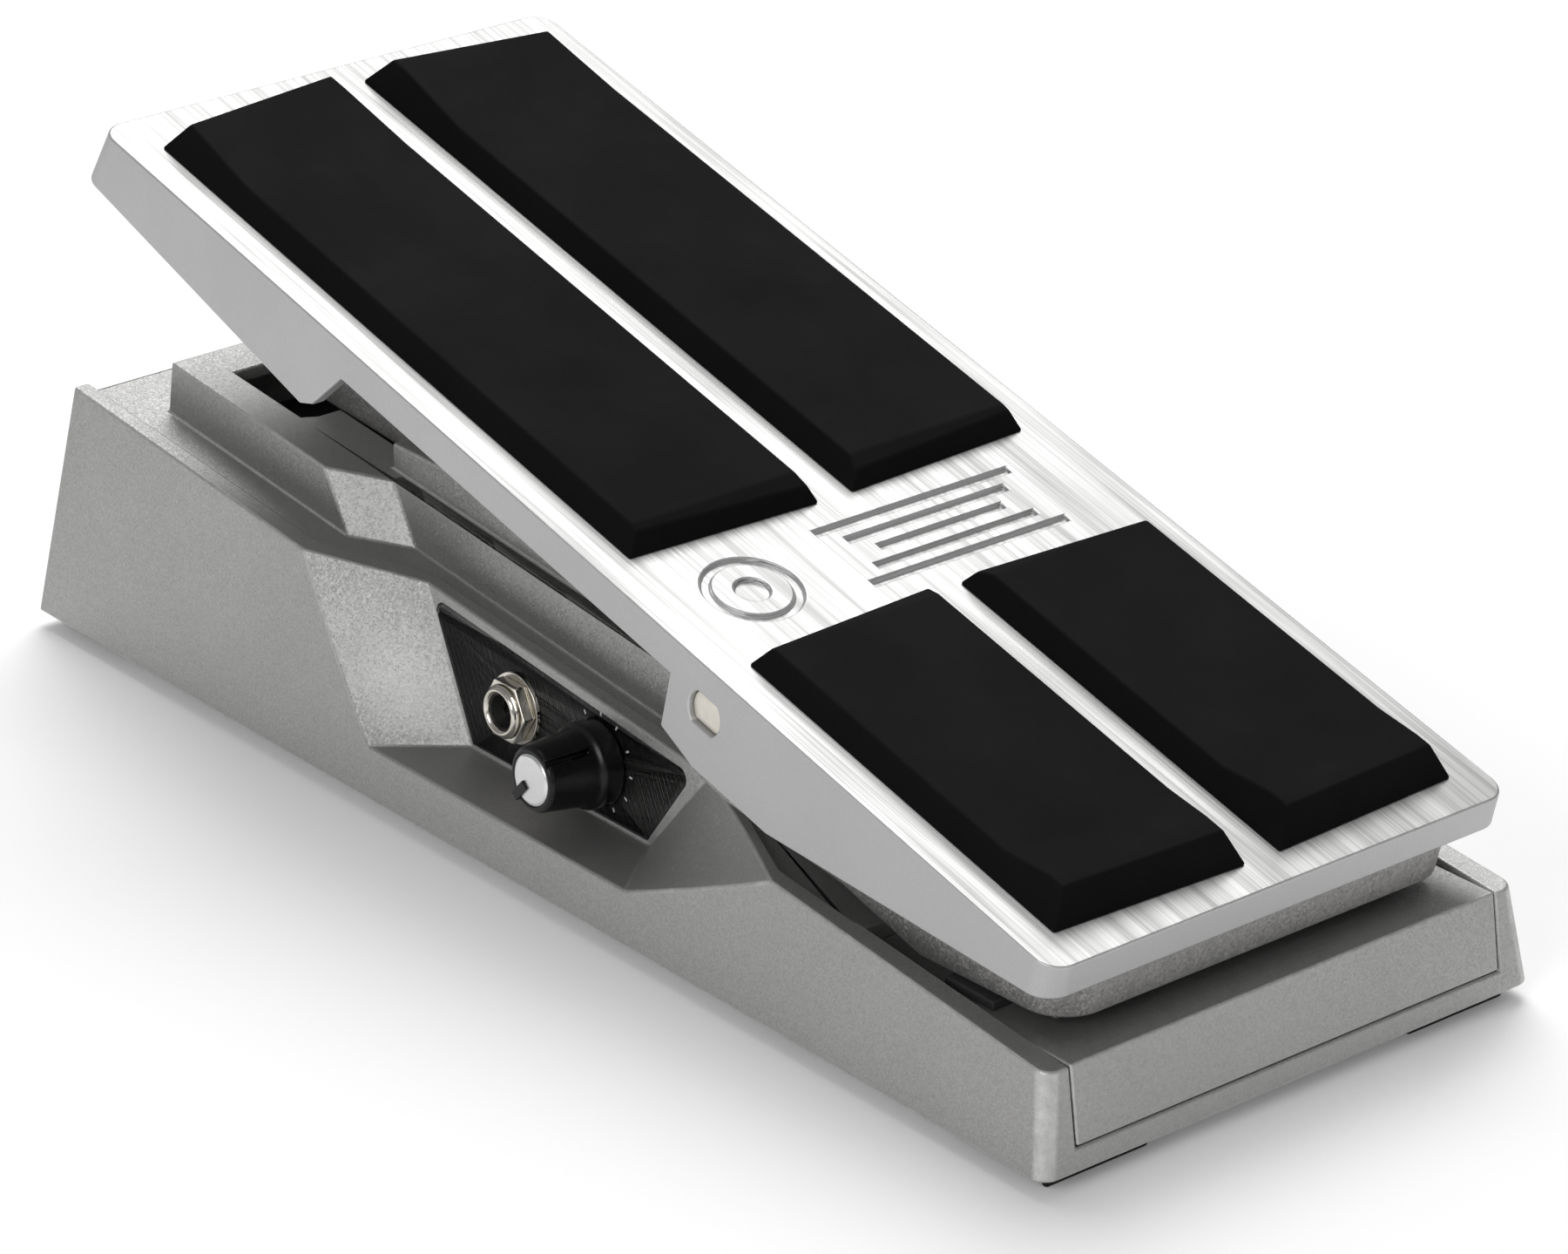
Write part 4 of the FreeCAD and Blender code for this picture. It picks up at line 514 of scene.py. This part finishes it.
def treadle_plate():
    """The treadle: brushed on top, painted on its sides and underneath."""
    form = merged_copy("treadle_shell")
    ease(form, 0.45, 3, 26.0)
    note_edges(form)
    lying = max(form.faces, key=lambda face: face.calc_area() if face.normal.z > 0.8 else 0.0)
    up = lying.normal.copy()
    level = lying.calc_center_median().dot(up)
    for face in form.faces:
        if face.normal.dot(up) > 0.9 and face.calc_center_median().dot(up) > level - 1.2 * MM:
            face.material_index = 1
    return piece("treadle_plate", form, "treadle",
                 [treadle_paint, brushed_top], ["treadle_shell"])


base_casting()
treadle_plate()
for name, node, body, slot, width, material in (
        ("heel_cover_casting", "heel_cover", "base", "base_paint", 0.5, casting_paint),
        ("treadle_frame_casting", "treadle_frame", "treadle", "frame_paint", 0.6, frame_paint)):
    piece(name, note_edges(ease(merged_copy(node), width)), body, [material], [node])

# ---------------------------------------------------------------- pads, panels and fittings

for node in ("toe_pad_left", "toe_pad_right", "heel_pad_left", "heel_pad_right"):
    pad = ease(merged_copy(node), 0.45, 3, 20.0)
    piece(node.replace("pad", "tread"), note_edges(pad), "treadle", [pad_rubber],
          [node])

knob_joint = joints["knob_turn"]
KNOB_CENTRE = Vector(knob_joint["pos_m"])
KNOB_AXIS = Vector(knob_joint["axis"]).normalized()
KNOB_SIDE = Vector((0.0, 1.0, 0.0))
KNOB_UP = KNOB_AXIS.cross(KNOB_SIDE).normalized()
if KNOB_UP.z < 0:
    KNOB_UP = -KNOB_UP
KNOB_OUT = KNOB_AXIS if KNOB_AXIS.x < 0 else -KNOB_AXIS
GROOVE_TURN = 138.0

FITTINGS = [
    ("left_panel", "side_panel_left", "base", "panel_black", 0.22, gloss_panel),
    ("right_panel", "side_panel_right", "base", "panel_black", 0.22, gloss_panel),
    ("socket_panel", "toe_panel", "base", "panel_black", 0.22, gloss_panel),
    ("knob_body", "volume_knob", "knob", "knob_black", 0.35, knob_plastic),
    ("knob_disc", "knob_cap", "knob", "spun_cap", 0.15, spun_cap),
    ("pivot_bar", "pivot_shaft", "treadle", "shaft_steel", 0.3, shaft_end),
    ("toe_stops", "toe_stop_pads", "base", "foot_rubber", 0.4, stop_rubber),
    ("heel_stops", "heel_stop_pads", "base", "foot_rubber", 0.4, stop_rubber),
    ("bottom_sheet", "bottom_plate", "base", "plate_steel", 0.25, zinc_plate),
    ("foot_pads", "rubber_feet", "base", "foot_rubber", 0.5, foot_rubber),
]
for socket in ("tuner", "expression", "input", "output"):
    for part, width, material, slot in (("sleeve", 0.2, bright_nickel, "nickel"),
                                        ("washer", 0.15, bright_nickel, "nickel"),
                                        ("nut", 0.3, bright_nickel, "nickel")):
        FITTINGS.append((f"{socket}_socket_{part}", f"{socket}_jack_{part}", "base", slot,
                         width, material))
for name, node, body, slot, width, material in FITTINGS:
    form = merged_copy(node)
    if node == "volume_knob":
        turn = Matrix.Rotation(math.radians(GROOVE_TURN), 4, KNOB_OUT)
        bmesh.ops.rotate(form, verts=form.verts, cent=KNOB_CENTRE, matrix=turn)
    piece(name, note_edges(ease(form, width)), body, [material], [node])

# ---------------------------------------------------------------- knob and socket details

POINTER_ANGLE = -132.0
POINTER_REACH = (1.5 * MM, 5.7 * MM)
POINTER_WIDTH = 1.8 * MM
POINTER_DEPTH = 0.9 * MM
POINTER_RISE = 0.45 * MM
FIRST_TICK = -60.0
TICK_REACH = (8.5 * MM, 9.3 * MM)
TICK_WIDTH = 0.35 * MM
TICK_THICKNESS = 0.06 * MM
TICK_LIFT = 0.02 * MM
TICK_COUNT = 11
TICK_TURN = math.radians(30.0)
THREAD_PITCH = 0.62 * MM
SOCKET_AXES = {
    "tuner": KNOB_OUT, "expression": Vector((-KNOB_OUT.x, 0.0, KNOB_OUT.z)),
    "input": Vector((0.0, 1.0, 0.0)), "output": Vector((0.0, 1.0, 0.0)),
}


def knob_far_end(node):
    """How far out along the knob's axis a node reaches."""
    return max((point.co - KNOB_CENTRE).dot(KNOB_OUT) for point in nodes[node].data.vertices)


def on_knob(out, angle, radius):
    """A place on the knob: out along its axis, at an angle up from the heel's side."""
    turn = math.radians(angle)
    return (KNOB_CENTRE + KNOB_OUT * out
            + (-KNOB_SIDE * math.cos(turn) + KNOB_UP * math.sin(turn)) * radius)


def bar(form, start, end, width, low, high):
    """A flat bar on a face square to the knob's axis, between two places of on_knob."""
    line = (end - start).normalized()
    across = line.cross(KNOB_OUT) * (width / 2)
    corners = []
    for lift in (low, high):
        for place, side in ((start, -1), (end, -1), (end, 1), (start, 1)):
            corners.append(form.verts.new(place + across * side + KNOB_OUT * lift))
    bottom, top = corners[:4], corners[4:]
    form.faces.new(bottom)
    form.faces.new(top[::-1])
    for i in range(4):
        form.faces.new((bottom[(i + 1) % 4], bottom[i], top[i], top[(i + 1) % 4]))
    bmesh.ops.recalc_face_normals(form, faces=form.faces)
    return form


def knob_pointer():
    """The black pointer let into the cap and running over the knob's edge."""
    far = knob_far_end("knob_cap")
    form = bmesh.new()
    start, end = (on_knob(0.0, POINTER_ANGLE, radius) for radius in POINTER_REACH)
    bar(form, start, end, POINTER_WIDTH, far - POINTER_DEPTH, far + POINTER_RISE)
    ease(form, 0.15, 2, 40.0)
    piece("knob_pointer", note_edges(form), "knob", [knob_plastic])


def lathe(form, centre, axis, profile, count=48):
    """A closed ring turned about an axis, from pairs of reach along it and radius."""
    across = axis.orthogonal().normalized()
    other = axis.cross(across)
    loops = []
    for reach, radius in profile:
        loops.append([form.verts.new(centre + axis * reach + radius * (
            across * math.cos(math.tau * i / count) + other * math.sin(math.tau * i / count)))
            for i in range(count)])
    for first, second in zip(loops, loops[1:] + loops[:1]):
        for i in range(count):
            j = (i + 1) % count
            form.faces.new((first[i], first[j], second[j], second[i]))
    bmesh.ops.recalc_face_normals(form, faces=form.faces)
    return form


def finished_by_nodes(name, tree, form, values, body):
    """Repeat a small mesh with a node tree, and keep the result as a plain mesh."""
    mesh = bpy.data.meshes.new(name)
    form.to_mesh(mesh)
    form.free()
    thing = bpy.data.objects.new(name, mesh)
    bpy.context.scene.collection.objects.link(thing)
    repeat = thing.modifiers.new("repeat", "NODES")
    repeat.node_group = tree
    for item in tree.interface.items_tree:
        if item.in_out == "INPUT" and item.name in values:
            repeat[item.identifier] = values[item.name]
    settle(thing)
    return declare(thing, body)


def repeat_turned(material):
    """Node tree: copies of a mesh, each turned about an axis and moved along it."""
    tree, given, result = new_group(
        "repeat_turned_%s" % material.name,
        [("Geometry", "NodeSocketGeometry", None), ("Count", "NodeSocketInt", 11),
         ("First turn", "NodeSocketFloat", 0.0), ("Turn", "NodeSocketFloat", 0.5),
         ("Step", "NodeSocketVector", (0.0, 0.0, 0.0)),
         ("Centre", "NodeSocketVector", (0.0, 0.0, 0.0)),
         ("Axis", "NodeSocketVector", (1.0, 0.0, 0.0))],
        [("Geometry", "NodeSocketGeometry")], "GeometryNodeTree")
    links = tree.links
    points = add_node(tree, "GeometryNodePoints")
    links.new(given.outputs["Count"], points.inputs["Count"])
    index = tree.nodes.new("GeometryNodeInputIndex").outputs[0]
    shift = scaled(tree, given.outputs["Step"], index)
    angle = arithmetic(tree, "ADD", given.outputs["First turn"],
                       arithmetic(tree, "MULTIPLY", given.outputs["Turn"], index))
    turn = add_node(tree, "FunctionNodeAxisAngleToRotation")
    links.new(given.outputs["Axis"], turn.inputs["Axis"])
    links.new(angle, turn.inputs["Angle"])
    placed = add_node(tree, "GeometryNodeInstanceOnPoints")
    links.new(points.outputs[0], placed.inputs["Points"])
    links.new(turn.outputs[0], placed.inputs["Rotation"])
    links.new(given.outputs["Geometry"], placed.inputs["Instance"])
    moved = add_node(tree, "GeometryNodeTranslateInstances")
    links.new(placed.outputs[0], moved.inputs["Instances"])
    links.new(vectors(tree, "ADD", given.outputs["Centre"], shift), moved.inputs["Translation"])
    moved.inputs["Local Space"].default_value = False
    whole = add_node(tree, "GeometryNodeRealizeInstances")
    links.new(moved.outputs[0], whole.inputs[0])
    coated = add_node(tree, "GeometryNodeSetMaterial")
    coated.inputs["Material"].default_value = material
    links.new(whole.outputs[0], coated.inputs["Geometry"])
    links.new(coated.outputs[0], result.inputs["Geometry"])
    return tree


def dial_ticks():
    """Eleven pale ticks printed on the panel around the knob."""
    form = bmesh.new()
    start, end = (on_knob(0.0, FIRST_TICK, radius) - KNOB_CENTRE for radius in TICK_REACH)
    bar(form, start, end, TICK_WIDTH, TICK_LIFT, TICK_LIFT + TICK_THICKNESS)
    finished_by_nodes("dial_ticks", repeat_turned(printed_mark), form,
                      {"Count": TICK_COUNT, "First turn": 0.0, "Turn": TICK_TURN,
                       "Centre": KNOB_CENTRE, "Axis": KNOB_OUT},
                      "base")


def socket_details(name):
    """The thread's ridges on a socket's sleeve, and a dark lining in its bore: painted shade down
    the deep bore, standing also for the black housing beyond.
    """
    low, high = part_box(name + "_jack_sleeve")
    centre = (low + high) / 2
    axis = SOCKET_AXES[name]
    places = [point.co - centre for point in nodes[name + "_jack_sleeve"].data.vertices]
    radii = [(place - axis * place.dot(axis)).length for place in places]
    radius, bore = max(radii), min(radii)
    tip = max(place.dot(axis) for place in places)
    nut = max((point.co - centre).dot(axis) for point in nodes[name + "_jack_nut"].data.vertices)
    turns = int((tip - nut - 0.5 * MM) / THREAD_PITCH)
    if turns > 0:
        form = bmesh.new()
        lathe(form, Vector((0.0, 0.0, 0.0)), axis,
              ((-0.26 * MM, radius - 0.1 * MM), (0.0, radius + 0.17 * MM),
               (0.26 * MM, radius - 0.1 * MM)))
        finished_by_nodes(name + "_socket_thread", repeat_turned(bright_nickel), form,
                          {"Count": turns, "Step": axis * THREAD_PITCH, "Turn": 0.0,
                           "Centre": centre + axis * (nut + 0.45 * MM), "Axis": axis},
                          "base")
    # A dark tube inside the sleeve's bore: painted shade, with the black housing behind it.
    form = bmesh.new()
    lathe(form, centre + axis * tip, axis,
          ((-0.9 * MM, bore + 0.05 * MM), (-0.9 * MM, bore - 0.14 * MM),
           (-7.5 * MM, bore - 0.14 * MM), (-7.5 * MM, bore + 0.05 * MM)))
    piece(name + "_socket_lining", note_edges(form), "base", [dark_plastic])


knob_pointer()
dial_ticks()
for socket in SOCKET_AXES:
    socket_details(socket)

# ---------------------------------------------------------------- what stays as the CAD made it

STAYING = {
    "base_paint": casting_paint, "treadle_paint": treadle_paint, "frame_paint": frame_paint,
    "plate_steel": zinc_plate, "zinc": zinc_plate, "nickel": bright_nickel,
    "shaft_steel": shaft_end, "pad_rubber": pad_rubber, "foot_rubber": foot_rubber,
    "panel_black": gloss_panel, "black_plastic": dark_plastic, "knob_black": knob_plastic,
    "spun_cap": spun_cap, "board_green": board_lacquer, "brass_part": turned_brass,
    "acetal": white_acetal,
}
for node in nodes.values():
    if not node.hide_render:
        for held in node.material_slots:
            held.material = STAYING.get(held.material.name.split(".")[0], dark_plastic)


# ---------------------------------------------------------------- studio

def studio_floor():
    """A wide pale floor, not part of the pedal."""
    form = bmesh.new()
    bmesh.ops.create_grid(form, x_segments=1, y_segments=1, size=4.0)
    mesh = bpy.data.meshes.new("studio_floor")
    form.to_mesh(mesh)
    form.free()
    floor = bpy.data.objects.new("studio_floor", mesh)
    bpy.context.scene.collection.objects.link(floor)
    material, tree, surface, place = new_material(
        "pale_floor", Roughness=0.9, Specular_IOR_Level=0.1, Emission_Strength=0.08,
        Emission_Color=(1.0, 1.0, 1.0, 1.0))
    tone = noise_value(tree, place, 3.0, 2.0)
    tree.links.new(mixed_colour(tree, tone, (0.90, 0.90, 0.90), (0.92, 0.92, 0.92)),
                   surface.inputs["Base Color"])
    mesh.materials.append(material)


def soft_light(name, place, aim, size, power):
    """A square soft box looking at a point."""
    data = bpy.data.lights.new(name, "AREA")
    data.shape = "RECTANGLE"
    data.size, data.size_y = size
    data.energy = power
    lamp = bpy.data.objects.new(name, data)
    bpy.context.scene.collection.objects.link(lamp)
    lamp.location = place
    lamp.rotation_euler = (Vector(aim) - Vector(place)).to_track_quat("-Z", "Y").to_euler()


studio_floor()
soft_light("overhead_box", (0.45, 0.50, 1.25), (0.0, 0.0, 0.05), (0.9, 1.1), 17.0)
soft_light("left_box", (-1.30, -0.50, 0.75), (0.0, 0.0, 0.04), (0.7, 0.7), 7.0)
soft_light("heel_box", (0.10, -1.5, 0.55), (0.0, 0.0, 0.03), (0.8, 0.5), 1.2)

world = bpy.data.worlds.new("studio_air")
world.use_nodes = True
bpy.context.scene.world = world
world.node_tree.nodes["Background"].inputs[0].default_value = (1.0, 1.0, 1.0, 1.0)
world.node_tree.nodes["Background"].inputs[1].default_value = 0.30
bpy.context.scene.view_settings.view_transform = "Standard"
bpy.context.scene.view_settings.look = "None"

lens = bpy.data.cameras.new("studio_camera")
lens.lens = 141.788
lens.sensor_width = 36.0
lens.sensor_fit = "HORIZONTAL"
lens.clip_start = 0.01
lens.clip_end = 20.0
camera = bpy.data.objects.new("studio_camera", lens)
bpy.context.scene.collection.objects.link(camera)
camera.location = (-0.6258, -0.7809, 0.4877)
camera.rotation_euler = [math.radians(turn) for turn in (65.6085, 0.2333, -39.2918)]
bpy.context.scene.camera = camera
